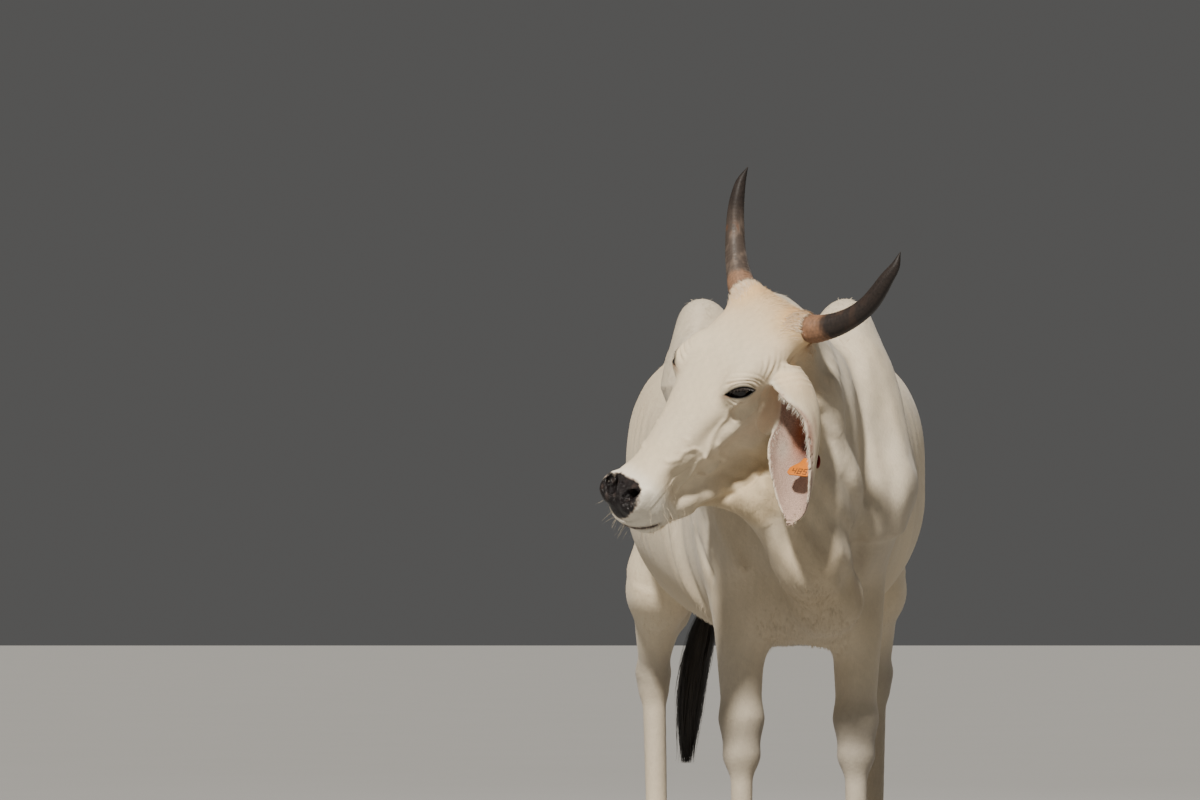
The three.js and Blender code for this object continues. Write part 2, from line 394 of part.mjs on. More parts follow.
// ---------------------------------------------------------------- cut planes
const NECK_Y = -0.120, BARREL_Y = 0.330, RUMP_Y = 0.950, TAIL_Y = 1.462;
const DEWLAP_Z = 0.860, FORE_TOP = 0.640, KNEE_Z = 0.400, HIND_TOP = 0.720, HOCK_Z = 0.440;
const HUMP_LO = [-0.100, NECK_Y, 1.250], HUMP_HI = [0.058, BARREL_Y, 1.45];
const faceCut = (off) => side(vadd(POLL, vmul(vadd(vmul(Fh, 0.504), vmul(Uh, 0.864)), -0.105)), vadd(vmul(Fh, 0.504), vmul(Uh, 0.864)), off);
const neckSide = (off) => side(vadd(POLL, vmul(vadd(vmul(Fh, 0.504), vmul(Uh, 0.864)), -0.105)), vmul(vadd(vmul(Fh, 0.504), vmul(Uh, 0.864)), -1), off);
const muzzleCut = (dir, off) => side(fromHead([0.395, 0, 0]), vmul(Fh, dir), off);
const g = GAP / 2;
const grow = (lo, hi, e) => box(lo.map((v) => v - e), hi.map((v) => v + e));
const LEGBOX = {
  fore_L: [[0.083, -0.075, -0.10], [0.26, 0.155, FORE_TOP]], fore_R: [[-0.20, -0.075, -0.10], [-0.023, 0.155, FORE_TOP]],
  hind_L: [[0.128, 0.952, -0.10], [0.42, 1.55, HIND_TOP]], hind_R: [[-0.42, 0.952, -0.10], [-0.128, 1.55, HIND_TOP]],
};
const UDDER = [[-0.125, 0.86, 0.40], [0.125, 1.20, 0.690]];

// ---------------------------------------------------------------- eyes
const eyeAt = (s) => fromHead([EYE_A, s * EYE_B, EYE_C]);
function ball(c, r, w = 8, h = 6) {
  const b = new THREE.SphereGeometry(r, w, h);
  b.applyQuaternion(new THREE.Quaternion().setFromUnitVectors(new THREE.Vector3(0, 1, 0), new THREE.Vector3(...unit(Lh))));
  b.translate(...c);
  return fromGeometry(b);
}

// ---------------------------------------------------------------- head and muzzle
const headBox = [[-0.45, -0.66, 0.75], [0.16, -0.10, 1.40]];
const headWhole = meshField(flesh, ...headBox, [0.018, 0.018, 0.018], 1650);
const headGrown = inflate(headWhole, 0.0006);
let headPart = headWhole.intersect(faceCut(g)).intersect(muzzleCut(-1, g));
for (const s of [1, -1]) {
  // the ball's seat, and the opening of the lids in front of it
  const way = unit(vadd(vadd(vmul(Fh, EYE_OUT[0]), vmul(Lh, s * EYE_OUT[1])), vmul(Uh, EYE_OUT[2])));
  const opening = new THREE.CylinderGeometry(0.0165, 0.0150, 0.040, 8);
  opening.translate(0, 0.020, 0);
  opening.applyQuaternion(new THREE.Quaternion().setFromUnitVectors(new THREE.Vector3(0, 1, 0), new THREE.Vector3(...way)));
  opening.translate(...eyeAt(s));
  headPart = headPart.subtract(ball(eyeAt(s), EYE_R + GAP)).subtract(fromGeometry(opening));
}
const muzzlePart = meshField(flesh, [-0.45, -0.60, 0.76], [-0.17, -0.22, 1.10], [0.014, 0.014, 0.014], 760).intersect(faceCut(g)).intersect(muzzleCut(1, g));
function largest(m) {
  const parts = m.decompose();
  return parts.reduce((a, b) => (b.volume() > a.volume() ? b : a));
}
add("head", largest(headPart), COAT);
add("muzzle", largest(muzzlePart), PAD);
add("eye_L", ball(eyeAt(1), EYE_R), EYE);
add("eye_R", ball(eyeAt(-1), EYE_R), EYE);

// ---------------------------------------------------------------- neck, dewlap, chest, hump, barrel, rump
const neckWhole = meshField(flesh, [-0.25, -0.55, 0.52], [0.27, -0.06, 1.40], [0.030, 0.030, 0.030], 1030).intersect(neckSide(g)).intersect(side([0, NECK_Y, 0], [0, -1, 0], g));
const neckGrown = inflate(neckWhole, 0.0006);
add("neck", largest(neckWhole.intersect(side([0, 0, DEWLAP_Z], [0, 0, 1], g))), COAT);
add("dewlap", largest(neckWhole.intersect(side([0, 0, DEWLAP_Z], [0, 0, -1], g)).subtract(grow(...LEGBOX.fore_L, g)).subtract(grow(...LEGBOX.fore_R, g))), COAT);
const chestWhole = meshField(flesh, [-0.34, -0.20, 0.50], [0.34, 0.40, 1.42], [0.030, 0.030, 0.030], 1120)
  .intersect(side([0, NECK_Y, 0], [0, 1, 0], g)).intersect(side([0, BARREL_Y, 0], [0, -1, 0], g));
add("chest", largest(chestWhole.subtract(grow(HUMP_LO, HUMP_HI, g)).subtract(grow(...LEGBOX.fore_L, g)).subtract(grow(...LEGBOX.fore_R, g))), COAT);
add("hump", largest(meshField(flesh, [-0.16, -0.20, 1.18], [0.12, 0.40, 1.42], [0.024, 0.030, 0.022], 260).intersect(grow(HUMP_LO, HUMP_HI, -g))), COAT);
add("barrel", largest(meshField(flesh, [-0.38, 0.26, 0.52], [0.38, 1.02, 1.36], [0.042, 0.042, 0.042], 730)
  .intersect(side([0, BARREL_Y, 0], [0, 1, 0], g)).intersect(side([0, RUMP_Y, 0], [0, -1, 0], g))
  .subtract(grow(...LEGBOX.hind_L, g)).subtract(grow(...LEGBOX.hind_R, g)).subtract(grow(...UDDER, g))), COAT);
const rumpWhole = meshField(flesh, [-0.36, 0.90, 0.52], [0.36, 1.60, 1.40], [0.030, 0.030, 0.030], 970);
add("rump", largest(rumpWhole.intersect(side([0, RUMP_Y, 0], [0, 1, 0], g)).intersect(side([0, TAIL_Y, 0], [0, -1, 0], g))
  .subtract(grow(...LEGBOX.hind_L, g)).subtract(grow(...LEGBOX.hind_R, g)).subtract(grow(...UDDER, g))), COAT);

// ---------------------------------------------------------------- udder with four teats
let udder = meshField(flesh, [-0.18, 0.80, 0.55], [0.18, 1.26, 0.75], [0.026, 0.026, 0.026], 260).intersect(grow(...UDDER, -g));
for (const sx of [-1, 1]) for (const y of [0.985, 1.085]) {
  const profile = [[0, 0.050], [0.0125, 0.048], [0.0115, 0.020], [0.0095, -0.005], [0, -0.010]].map(([r, z]) => new THREE.Vector2(r, z)).reverse();
  const t = new THREE.LatheGeometry(profile, 8);
  t.rotateX(PI / 2); t.translate(sx * 0.048, y, 0.600);
  udder = udder.add(fromGeometry(t));
}
add("udder", largest(udder), COAT);

// ---------------------------------------------------------------- legs
const feet = [];
for (const [end, sx] of [["fore", 1], ["fore", -1], ["hind", 1], ["hind", -1]]) {
  const tag = `${end}_${sx > 0 ? "L" : "R"}`, fore = end === "fore";
  const cx = fore ? LEG_SHIFT + sx * FORE_X : -0.01 + sx * HIND_X, fy = fore ? FORE_FOOT_Y : HIND_FOOT_Y;
  const mid = fore ? KNEE_Z : HOCK_Z, lb = LEGBOX[tag];
  const up = meshField(flesh, [lb[0][0], lb[0][1], mid - 0.07], [lb[1][0], lb[1][1], lb[1][2] + 0.07], [0.022, 0.022, 0.030], fore ? 270 : 310);
  add(`leg_${tag}_upper`, largest(up.intersect(grow(lb[0], lb[1], -g)).intersect(side([0, 0, mid], [0, 0, 1], g))), COAT);
  // the lower leg ends on a sloping plane at the top of the hooves
  const slope = unit([0, -(HOOF_H - HEEL_H), CLAW_L * 0.9]);
  const crown = [cx, fy - CLAW_L * 0.30, HOOF_H];
  const cut = (dir, off) => side(crown, vmul([slope[0], -slope[1], slope[2]], dir), off, 1);
  const low = meshField(flesh, [cx - 0.09, (fore ? 0.02 : 1.25) - 0.15, 0.02], [cx + 0.09, (fore ? 0.02 : 1.25) + 0.13, mid + 0.05], [0.0130, 0.0130, 0.0165], 300);
  add(`leg_${tag}_lower`, largest(low.intersect(side([0, 0, mid], [0, 0, -1], g)).intersect(cut(1, g))), COAT);
  feet.push({ tag, cx, fy, cut });
}
// hooves: each claw is a rounded half hoof with a flat sole
for (const { tag, cx, fy, cut } of feet) for (const inner of [0, 1]) {
  const s = inner ? -1 : 1, out = [], N = 8;
  const x0 = cx + s * (CLAW_GAP / 2 + CLAW_W / 2);
  for (const [z, grow_, back] of [[0, 1, 0], [0.030, 0.965, 0.012], [0.060, 0.93, 0.026], [0.100, 0.90, 0.045]]) {
    const ring = [];
    for (let i = 0; i < N; i++) {
      const t = 2 * PI * i / N + PI / N, c = cos(t), q = sin(t);
      // pointed to the front, round at the heel, flat towards the other claw
      let lx = Math.sign(c) * pow(abs(c), 0.75) * CLAW_W / 2 * grow_, ly = -q * CLAW_L / 2 * (q > 0 ? grow_ : 0.94);
      lx *= 1 - 0.22 * max(0, q);
      ring.push([x0 + lx - s * 0.006 * max(0, q), fy + ly + back * (0.6 + 0.4 * q), z]);
    }
    out.push(ring);
  }
  const flat = ringSolid(out, centre(out[0]), centre(out[out.length - 1]));
  add(`hoof_${tag}_${inner ? "a" : "b"}`, largest(flat.intersect(cut(-1, g))), HOOF);
}

// ---------------------------------------------------------------- tail: upper, lower and the switch of long hair
const tailWhole = meshField(flesh, [-0.22, 1.44, 0.60], [0.10, 1.58, 1.32], [0.011, 0.011, 0.016], 320).intersect(side([0, TAIL_Y, 0], [0, 1, 0], g));
add("tail_upper", largest(tailWhole.intersect(side([0, 0, 0.93], [0, 0, 1], g))), COAT);
add("tail_lower", largest(tailWhole.intersect(side([0, 0, 0.93], [0, 0, -1], g)).intersect(side([0, 0, 0.665], [0, 0, 1], g))), COAT);
{
  const line = new THREE.CatmullRomCurve3([[-0.128, 1.496, 0.665], [-0.148, 1.494, 0.600], [-0.165, 1.490, 0.520], [-0.175, 1.486, 0.440], [-0.180, 1.484, 0.370], [-0.183, 1.482, 0.310]].map((v) => new THREE.Vector3(...v)));
  const fat = curve([0, 0.2, 0.45, 0.7, 0.9, 1], [0.013, 0.026, 0.034, 0.030, 0.018, 0.006]), rings = [];
  for (let i = 0; i <= 6; i++) {
    const t = i / 6, p = line.getPoint(t), r = fat(t), ring = [];
    for (let j = 0; j < 8; j++) ring.push([p.x + r * cos(j * PI / 4), p.y + r * 0.9 * sin(j * PI / 4), p.z]);
    rings.push(ring);
  }
  add("tail_switch", ringSolid(rings, centre(rings[0]), vadd(centre(rings[6]), [0, 0, -0.004])).intersect(side([0, 0, 0.665], [0, 0, -1], g)), SWITCH);
}

// ---------------------------------------------------------------- horns
const HORN_LINE = [[0.010, 0.078, -0.022], [0.0079, 0.108, -0.020], [-0.0129, 0.143, -0.019], [-0.0362, 0.172, -0.0135], [-0.0615, 0.196, -0.005], [-0.0877, 0.215, 0.0064], [-0.1142, 0.229, 0.0218], [-0.1414, 0.239, 0.0374], [-0.1698, 0.247, 0.050], [-0.1975, 0.2452, 0.0631]];
const HORN_RAD = [0.027, 0.0295, 0.0263, 0.0236, 0.0215, 0.0200, 0.0182, 0.0154, 0.0108, 0.0020];
for (const [name, s] of [["horn_L", 1], ["horn_R", -1]]) {
  const pts = HORN_LINE.map(([a, b, c]) => fromHead([a, s * b, c])), rings = [];
  for (let i = 0; i < pts.length; i++) {
    const d = unit(vsub(pts[min(i + 1, pts.length - 1)], pts[max(i - 1, 0)])), u = unit(cross(d, Uh)), v = cross(u, d), ring = [];
    for (let j = 0; j < 8; j++) ring.push(vadd(pts[i], vadd(vmul(u, HORN_RAD[i] * cos(j * PI / 4)), vmul(v, HORN_RAD[i] * sin(j * PI / 4)))));
    rings.push(ring);
  }
  add(name, largest(ringSolid(rings, centre(rings[0]), vadd(pts[pts.length - 1], vmul(unit(vsub(pts[9], pts[8])), 0.003))).subtract(headGrown).subtract(neckGrown)), HORN);
}

// ---------------------------------------------------------------- ears: hanging troughs, open to the side
const EAR_S = [0, 0.05, 0.1, 0.2, 0.31, 0.46, 0.6, 0.75, 0.88, 0.95, 1.0];
const earR = curve(EAR_S, [0.024, 0.034, 0.043, 0.052, 0.0565, 0.0565, 0.0515, 0.0455, 0.038, 0.030, 0.014]);
const earT = curve(EAR_S, [155, 150, 138, 112, 90, 94, 90, 78, 64, 55, 50]);      // half the angle of the trough
const earM = curve(EAR_S, [45, 44, 42, 36, 20, 0, -9, -11, -10, -5, 0]);          // angle of its middle
const EARS = { ear_L: { base: [-0.002, -0.440, 1.150], tip: [-0.002, -0.465, 0.842], turn: 47, side: -1 }, ear_R: { base: [-0.135, -0.285, 1.225], tip: [-0.222, -0.190, 0.945], turn: 90, side: 1 } };
function earFrame({ base, tip, turn, side: sg }) {
  const D = unit(vsub(tip, base)), t = turn * PI / 180;
  let n = [-sin(t), -cos(t), 0]; n = unit(vsub(n, vmul(D, dot(n, D))));
  return { base, D, n, W: vmul(cross(D, n), sg), L: sqrt(dot(vsub(tip, base), vsub(tip, base))) };
}
// point of the ear's middle sheet at s (0 base, 1 tip), angle ph from the floor of the trough, pushed out by off
function earPoint(fr, s, ph, off) {
  const R = earR(s) + off, lift = earR(s) * 0.25 - 0.012;
  const x = R * sin(ph), y = R * cos(ph) + lift;
  return vadd(fr.base, vadd(vmul(fr.D, s * fr.L), vadd(vmul(fr.W, x), vmul(fr.n, -y))));
}
const TAG_FACE = [-0.307, -0.651, 0.692], TAG_LEN = [-0.422, -0.560, -0.714];        // the ways the tag's face looks and its length runs
const ears = {};
for (const [name, e] of Object.entries(EARS)) {
  const fr = earFrame(e), rings = [], S = [-0.04, 0.06, 0.16, 0.28, 0.42, 0.56, 0.70, 0.83, 0.93, 0.985], N = 7;
  for (const s of S) {
    const ring = [], th = earT(clip(s, 0, 1)) * PI / 180, half = 0.0045 * (s > 0.9 ? 0.8 : 1);
    const sc = clip(s, 0, 1), shift = vmul(fr.D, (s - sc) * fr.L);
    const md = earM(sc) * PI / 180;
    for (let j = 0; j < N; j++) ring.push(vadd(earPoint(fr, sc, md + th * (2 * j / (N - 1) - 1), half), shift));
    for (let j = N - 1; j >= 0; j--) ring.push(vadd(earPoint(fr, sc, md + th * (2 * j / (N - 1) - 1) * 0.97, -half), shift));
    rings.push(ring);
  }
  const mid = (ring) => vmul(vadd(ring[(N - 1) / 2], ring[N + (N - 1) / 2]), 0.5);
  ears[name] = { fr, m: ringSolid(rings, mid(rings[0]), mid(rings[rings.length - 1])).subtract(headGrown).subtract(neckGrown) };
}

// ---------------------------------------------------------------- ear tag: panel with its stem in the trough, button behind
{
  const fr = ears.ear_L.fr, S = 0.590, PH = 0.36;                     // where the stem goes through
  const p0 = earPoint(fr, S, PH, 0), outDir = unit(vsub(earPoint(fr, S, PH, 0.01), p0)), inward = vmul(outDir, -1);
  const quat = new THREE.Quaternion().setFromUnitVectors(new THREE.Vector3(0, 1, 0), new THREE.Vector3(...outDir));
  const rod = (r, l0, l1, n) => { const c = new THREE.CylinderGeometry(r, r, l1 - l0, n); c.translate(0, (l0 + l1) / 2, 0); c.applyQuaternion(quat); c.translate(...p0); return fromGeometry(c); };
  // panel: a shouldered plate that stands across the trough, its face looking out of it
  const sh = new THREE.Shape();
  sh.moveTo(-0.007, 0.006); sh.lineTo(0.007, 0.006); sh.lineTo(0.010, -0.006); sh.lineTo(0.026, -0.022); sh.lineTo(0.027, -0.036); sh.lineTo(0.020, -0.042); sh.lineTo(-0.020, -0.042); sh.lineTo(-0.027, -0.036); sh.lineTo(-0.026, -0.022); sh.lineTo(-0.010, -0.006);
  const plate = new THREE.ExtrudeGeometry(sh, { depth: 0.0022, bevelEnabled: false, curveSegments: 1 });
  const face = unit(TAG_FACE), along = TAG_LEN;
  const len = unit(vsub(along, vmul(face, dot(along, face)))), fy = vmul(len, -1), fx = cross(fy, face);
  const M = new THREE.Matrix4().makeBasis(new THREE.Vector3(...fx), new THREE.Vector3(...fy), new THREE.Vector3(...face));
  M.setPosition(...vadd(p0, vmul(inward, 0.0165)));
  plate.applyMatrix4(M);
  const panel = fromGeometry(plate).subtract(inflate(ears.ear_L.m, 0.0006)).add(rod(0.003, -0.0190, 0.0062, 8));
  ears.ear_L.m = ears.ear_L.m.subtract(rod(0.0034, -0.03, 0.03, 8));
  add("ear_tag_panel", largest(panel), TAG);
  add("ear_tag_button", rod(0.014, 0.0066, 0.0096, 12), STUD);
}
add("ear_L", largest(ears.ear_L.m), EARIN);
add("ear_R", largest(ears.ear_R.m), EARIN);

export default root;
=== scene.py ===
# Brahman cow, adult and horned, life size: one skin over the flesh, short coat, face, horns, eyes, hooves and ear tag.
# Tables are in metres and in the raw frame of the model's own shape; ORIGIN takes them to the shared frame.
import bpy, math
import numpy as np
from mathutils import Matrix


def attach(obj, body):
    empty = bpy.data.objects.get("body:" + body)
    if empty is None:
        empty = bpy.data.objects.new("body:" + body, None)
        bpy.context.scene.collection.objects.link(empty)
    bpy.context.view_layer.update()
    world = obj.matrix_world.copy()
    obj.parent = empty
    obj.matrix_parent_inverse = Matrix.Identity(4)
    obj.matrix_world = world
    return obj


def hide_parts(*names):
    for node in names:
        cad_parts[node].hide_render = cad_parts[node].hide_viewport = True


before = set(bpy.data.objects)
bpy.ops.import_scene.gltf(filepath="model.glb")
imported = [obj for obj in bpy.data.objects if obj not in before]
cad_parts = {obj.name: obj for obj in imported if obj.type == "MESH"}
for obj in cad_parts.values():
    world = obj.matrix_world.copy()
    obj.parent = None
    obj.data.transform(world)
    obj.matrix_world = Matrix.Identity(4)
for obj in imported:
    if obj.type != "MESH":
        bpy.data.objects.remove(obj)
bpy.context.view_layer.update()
from concurrent.futures import ThreadPoolExecutor

# === geometry begin
ORIGIN = np.array([-0.023404, 0.451639, 0.0])
POLL = np.array([-0.030, -0.400, 1.289])
RNG = np.random.default_rng(41)


def unit(v):
    v = np.asarray(v, float)
    return v / np.linalg.norm(v)


FH = unit([-0.64, -0.13, -0.757])
_l0 = np.array([0.684, -0.554, -0.474]); _l0 = unit(_l0 - FH * (_l0 @ FH)); _u0 = np.cross(FH, _l0)
_r = math.radians(11.0)
LH = _l0 * np.cos(_r) + _u0 * np.sin(_r)
UH = _u0 * np.cos(_r) - _l0 * np.sin(_r)
LEG_SHIFT, FORE_X, HIND_X = 0.030, 0.118, 0.242
EYE_R, EYE = 0.0205, (0.1965, 0.0875, -0.0035)
# the eye's own axes in the head: out through the opening, along it to the inner corner, and up
EO = np.array([0.15, 0.84, 0.52]); EO /= np.linalg.norm(EO)
E1 = np.array([0.62, 0.0, 0.56]); E1 -= EO * (E1 @ EO); E1 /= np.linalg.norm(E1)
E2 = np.cross(EO, E1)
E2 = E2 * np.sign(E2[2])


def to_head(x, y, z):
    dx, dy, dz = x - POLL[0], y - POLL[1], z - POLL[2]
    return (dx * FH[0] + dy * FH[1] + dz * FH[2], dx * LH[0] + dy * LH[1] + dz * LH[2], dx * UH[0] + dy * UH[1] + dz * UH[2])


def from_head(a, b, c):
    return POLL + FH * a + LH * b + UH * c


def curve(xs, ys):
    xs = np.array(xs, float); ys = np.array(ys, float); n = len(xs); m = np.zeros(n)
    m[0] = (ys[1] - ys[0]) / (xs[1] - xs[0]); m[-1] = (ys[-1] - ys[-2]) / (xs[-1] - xs[-2])
    h0 = xs[1:-1] - xs[:-2]; h1 = xs[2:] - xs[1:-1]
    m[1:-1] = (h0 ** 2 * ys[2:] + (h1 ** 2 - h0 ** 2) * ys[1:-1] - h1 ** 2 * ys[:-2]) / (h0 * h1 * (h0 + h1))

    def f(x):
        i = np.clip(np.searchsorted(xs, x) - 1, 0, n - 2)
        h = xs[i + 1] - xs[i]; t = np.clip((x - xs[i]) / h, 0, 1); t2 = t * t; t3 = t2 * t
        return (2 * t3 - 3 * t2 + 1) * ys[i] + (t3 - 2 * t2 + t) * h * m[i] + (-2 * t3 + 3 * t2) * ys[i + 1] + (t3 - t2) * h * m[i + 1]
    return f


def eye_axes(a, bb, c):
    """place against the left eye's axes: along the opening (inner corner +), up, and out"""
    ea, eb, ec = a - EYE[0], bb - EYE[1], c - EYE[2]
    return tuple(ea * E[0] + eb * E[1] + ec * E[2] for E in (E1, E2, EO))


LID_W = 0.0298


def lid_edges(al):
    """upper and lower edge of the opening at al"""
    t = (al - 0.003) / LID_W
    top = 0.0118 * np.maximum(1 - np.abs(t + 0.06) ** 2.0, -0.3)
    low = -0.0084 * np.maximum(1 - np.abs(t - 0.03) ** 2.2, -0.3)
    return top, low


def power(x, e):
    return np.exp(e * np.log(x + 1e-9))


def smin(a, b, k):
    h = np.maximum(k - np.abs(a - b), 0) / k
    return np.minimum(a, b) - h * h * (k * 0.25)


def smax(a, b, k):
    return -smin(-a, -b, k)


def step(x, a, b):
    t = np.clip((x - a) / (b - a), 0, 1)
    return t * t * (3 - 2 * t)


def bump(x, c, w):
    return np.exp(-((x - c) / w) ** 2)


def egg(P, c, r):
    x, y, z = (P[0] - c[0]) / r[0], (P[1] - c[1]) / r[1], (P[2] - c[2]) / r[2]
    k0 = np.sqrt(x * x + y * y + z * z)
    k1 = np.sqrt((x / r[0]) ** 2 + (y / r[1]) ** 2 + (z / r[2]) ** 2)
    return k0 * (k0 - 1) / np.maximum(k1, 1e-9)


def cone(P, a, ra, b, rb, s=(1, 1, 1)):
    q = [(P[i] - a[i]) / s[i] for i in range(3)]
    ba = [(b[i] - a[i]) / s[i] for i in range(3)]
    L = np.sqrt(sum(v * v for v in ba))
    y = (q[0] * ba[0] + q[1] * ba[1] + q[2] * ba[2]) / L
    x = np.sqrt(np.maximum(q[0] ** 2 + q[1] ** 2 + q[2] ** 2 - y * y, 0))
    k = (ra - rb) / L
    t = np.clip((y + x * k / np.sqrt(1 - k * k)) / L if abs(k) < 0.999 else y / L, 0, 1)
    return (np.hypot(y - t * L, x) - (ra + (rb - ra) * t)) * min(s)


# ---------------------------------------------------------------- the animal's shape, as in the solids, with more detail
TY = [-0.20, -0.10, 0.05, 0.20, 0.40, 0.60, 0.80, 0.95, 1.10, 1.25, 1.38, 1.46]
half_w = curve(TY, [0.050, 0.105, 0.165, 0.220, 0.288, 0.320, 0.322, 0.300, 0.240, 0.185, 0.135, 0.100])
top_z = curve(TY, [1.10, 1.16, 1.20, 1.235, 1.238, 1.240, 1.250, 1.270, 1.285, 1.275, 1.230, 1.190])
bot_z = curve(TY, [0.72, 0.64, 0.60, 0.590, 0.600, 0.615, 0.628, 0.672, 0.735, 0.810, 0.880, 0.920])
mid_z = curve(TY, [0.86, 0.86, 0.88, 0.900, 0.920, 0.930, 0.930, 0.960, 1.000, 1.030, 1.050, 1.060])
boxy = curve(TY, [2.3, 2.3, 2.3, 2.4, 2.8, 3.1, 3.2, 3.1, 2.8, 2.5, 2.4, 2.3])
DEWLAP = [(-0.160, -0.345, 0.905, 0.026), (-0.068, -0.335, 0.900, 0.046), (0.041, -0.265, 0.778, 0.070), (0.084, -0.150, 0.692, 0.066), (0.080, -0.020, 0.660, 0.055)]
TAIL = [(0, 1.360, 1.195, 0.042), (0, 1.462, 1.168, 0.030), (-0.004, 1.502, 1.080, 0.022), (-0.030, 1.502, 0.960, 0.018), (-0.085, 1.500, 0.800, 0.015), (-0.135, 1.495, 0.640, 0.012)]
TEATS = [(sx * 0.048, y) for sx in (-1, 1) for y in (0.985, 1.085)]


def trunk(x, y, z):
    w = half_w(y); zc = mid_z(y); up = z > zc
    h = np.where(up, top_z(y) - zc, zc - bot_z(y))
    v = np.abs(z - zc) / h; u = np.abs(x) / w; e = np.where(up, boxy(y), 2.2)
    d = (power(power(u, e) + power(v, e), 1 / e) - 1) * np.minimum(w, h)
    return smax(d, np.abs(y - 0.63) - 0.80, 0.16)


def body(x, y, z):
    d = trunk(x, y, z)
    m = y < 0.46
    if m.any():
        X, Y, Z = x[m], y[m], z[m]; e = d[m]
        tuck = np.where(X < 0, 0.55 * np.clip((1.13 - Z) / 0.28, 0, 1) * np.clip((0.35 - Y) / 0.25, 0, 1), 0)
        s = (np.abs(X + 0.018 * np.clip((Z - 1.0) / 0.3, 0, 1)) * (1 + tuck), Y, Z)
        e = smin(e, egg(s, (0.165, 0.070, 1.020), (0.092, 0.150, 0.240)), 0.07)
        e = smin(e, cone(s, (0.143, 0.135, 1.262), 0.046, (0.205, -0.040, 0.940), 0.062), 0.05)
        e = smin(e, egg(s, (0.155, 0.150, 1.235), (0.050, 0.100, 0.075)), 0.04)
        e = smin(e, egg(s, (0.195, 0.100, 0.955), (0.072, 0.120, 0.110)), 0.04)
        e = smin(e, egg(s, (0.155, -0.025, 0.870), (0.080, 0.095, 0.130)), 0.06)
        d[m] = smin(e, egg((X, Y, Z), (-0.024, 0.075, 1.228), (0.068, 0.190, 0.096)), 0.05)
    m = y > 0.74
    if m.any():
        X, Y, Z = x[m], y[m], z[m]; e = d[m]
        q = (np.abs(X), Y, Z)
        e = smin(e, egg(q, (0.185, 1.060, 1.215), (0.045, 0.075, 0.055)), 0.06)
        e = smin(e, egg(q, (0.150, 1.240, 0.980), (0.105, 0.170, 0.250)), 0.09)
        e = smin(e, egg(q, (0.105, 1.385, 1.100), (0.055, 0.060, 0.070)), 0.08)
        e = smin(e, egg(q, (0.170, 1.050, 0.860), (0.085, 0.150, 0.150)), 0.08)
        e = smin(e, cone(q, (0.150, 1.330, 0.860), 0.085, (0.225, 1.260, 0.660), 0.052), 0.07)
        d[m] = smin(e, egg((X, Y, Z), (0.0, 1.040, 0.715), (0.110, 0.130, 0.095)), 0.06)
    return d


def legs(x, y, z):
    q = (np.abs(x - LEG_SHIFT * np.clip((1.0 - z) / 0.3, 0, 1)), y, z)
    d = cone(q, (0.125, 0.070, 0.840), 0.070, (FORE_X, 0.030, 0.450), 0.043, (1, 1.3, 1))
    d = smin(d, cone(q, (FORE_X, 0.025, 0.440), 0.044, (FORE_X, 0.020, 0.375), 0.041, (1, 1.1, 1)), 0.03)
    d = smin(d, cone(q, (FORE_X, 0.016, 0.360), 0.026, (FORE_X, 0.016, 0.170), 0.024), 0.03)
    d = smin(d, cone(q, (FORE_X, 0.044, 0.350), 0.016, (FORE_X, 0.042, 0.170), 0.016), 0.012)
    d = smin(d, egg(q, (FORE_X, 0.025, 0.155), (0.036, 0.042, 0.040)), 0.03)
    d = smin(d, cone(q, (FORE_X, 0.015, 0.140), 0.033, (FORE_X, -0.015, 0.060), 0.040, (1, 1.1, 1)), 0.02)
    d = smin(d, egg((np.abs(q[0] - FORE_X), y, z), (0.020, 0.060, 0.118), (0.012, 0.014, 0.017)), 0.012)
    r = (np.abs(x + 0.01), y, z)
    e = cone(r, (0.190, 1.080, 0.860), 0.105, (0.235, 1.100, 0.700), 0.075, (1, 1.3, 1))
    e = smin(e, cone(r, (0.235, 1.100, 0.740), 0.072, (0.250, 1.270, 0.530), 0.036, (1, 1.2, 1)), 0.04)
    e = smin(e, cone(r, (0.250, 1.310, 0.620), 0.012, (0.250, 1.335, 0.540), 0.018), 0.05)
    e = smin(e, egg(r, (0.250, 1.285, 0.510), (0.038, 0.052, 0.055)), 0.03)
    e = smin(e, cone(r, (0.248, 1.272, 0.470), 0.029, (HIND_X, 1.243, 0.170), 0.026), 0.03)
    e = smin(e, cone(r, (0.248, 1.302, 0.470), 0.019, (HIND_X, 1.270, 0.170), 0.017), 0.012)
    e = smin(e, egg(r, (HIND_X, 1.250, 0.155), (0.037, 0.045, 0.042)), 0.03)
    e = smin(e, cone(r, (HIND_X, 1.240, 0.140), 0.034, (HIND_X, 1.205, 0.060), 0.042, (1, 1.1, 1)), 0.02)
    e = smin(e, egg((np.abs(r[0] - HIND_X), y, z), (0.020, 1.285, 0.118), (0.012, 0.014, 0.017)), 0.012)
    # the cleft between the two claws
    cl = np.minimum(np.abs(q[0] - FORE_X) + 0.25 * np.maximum(z - 0.062, 0) + np.where(y < 0.02, 0, 1), np.abs(r[0] - HIND_X) + 0.25 * np.maximum(z - 0.062, 0) + np.where((y < 1.24) & (y > 0.8), 0, 1))
    d = smax(np.minimum(d, e), 0.006 - cl, 0.010)
    yc = np.where(y < 0.6, y + 0.0654, y - 1.1546)
    return smax(d, 0.058 - 0.2547 * yc - z, 0.010)


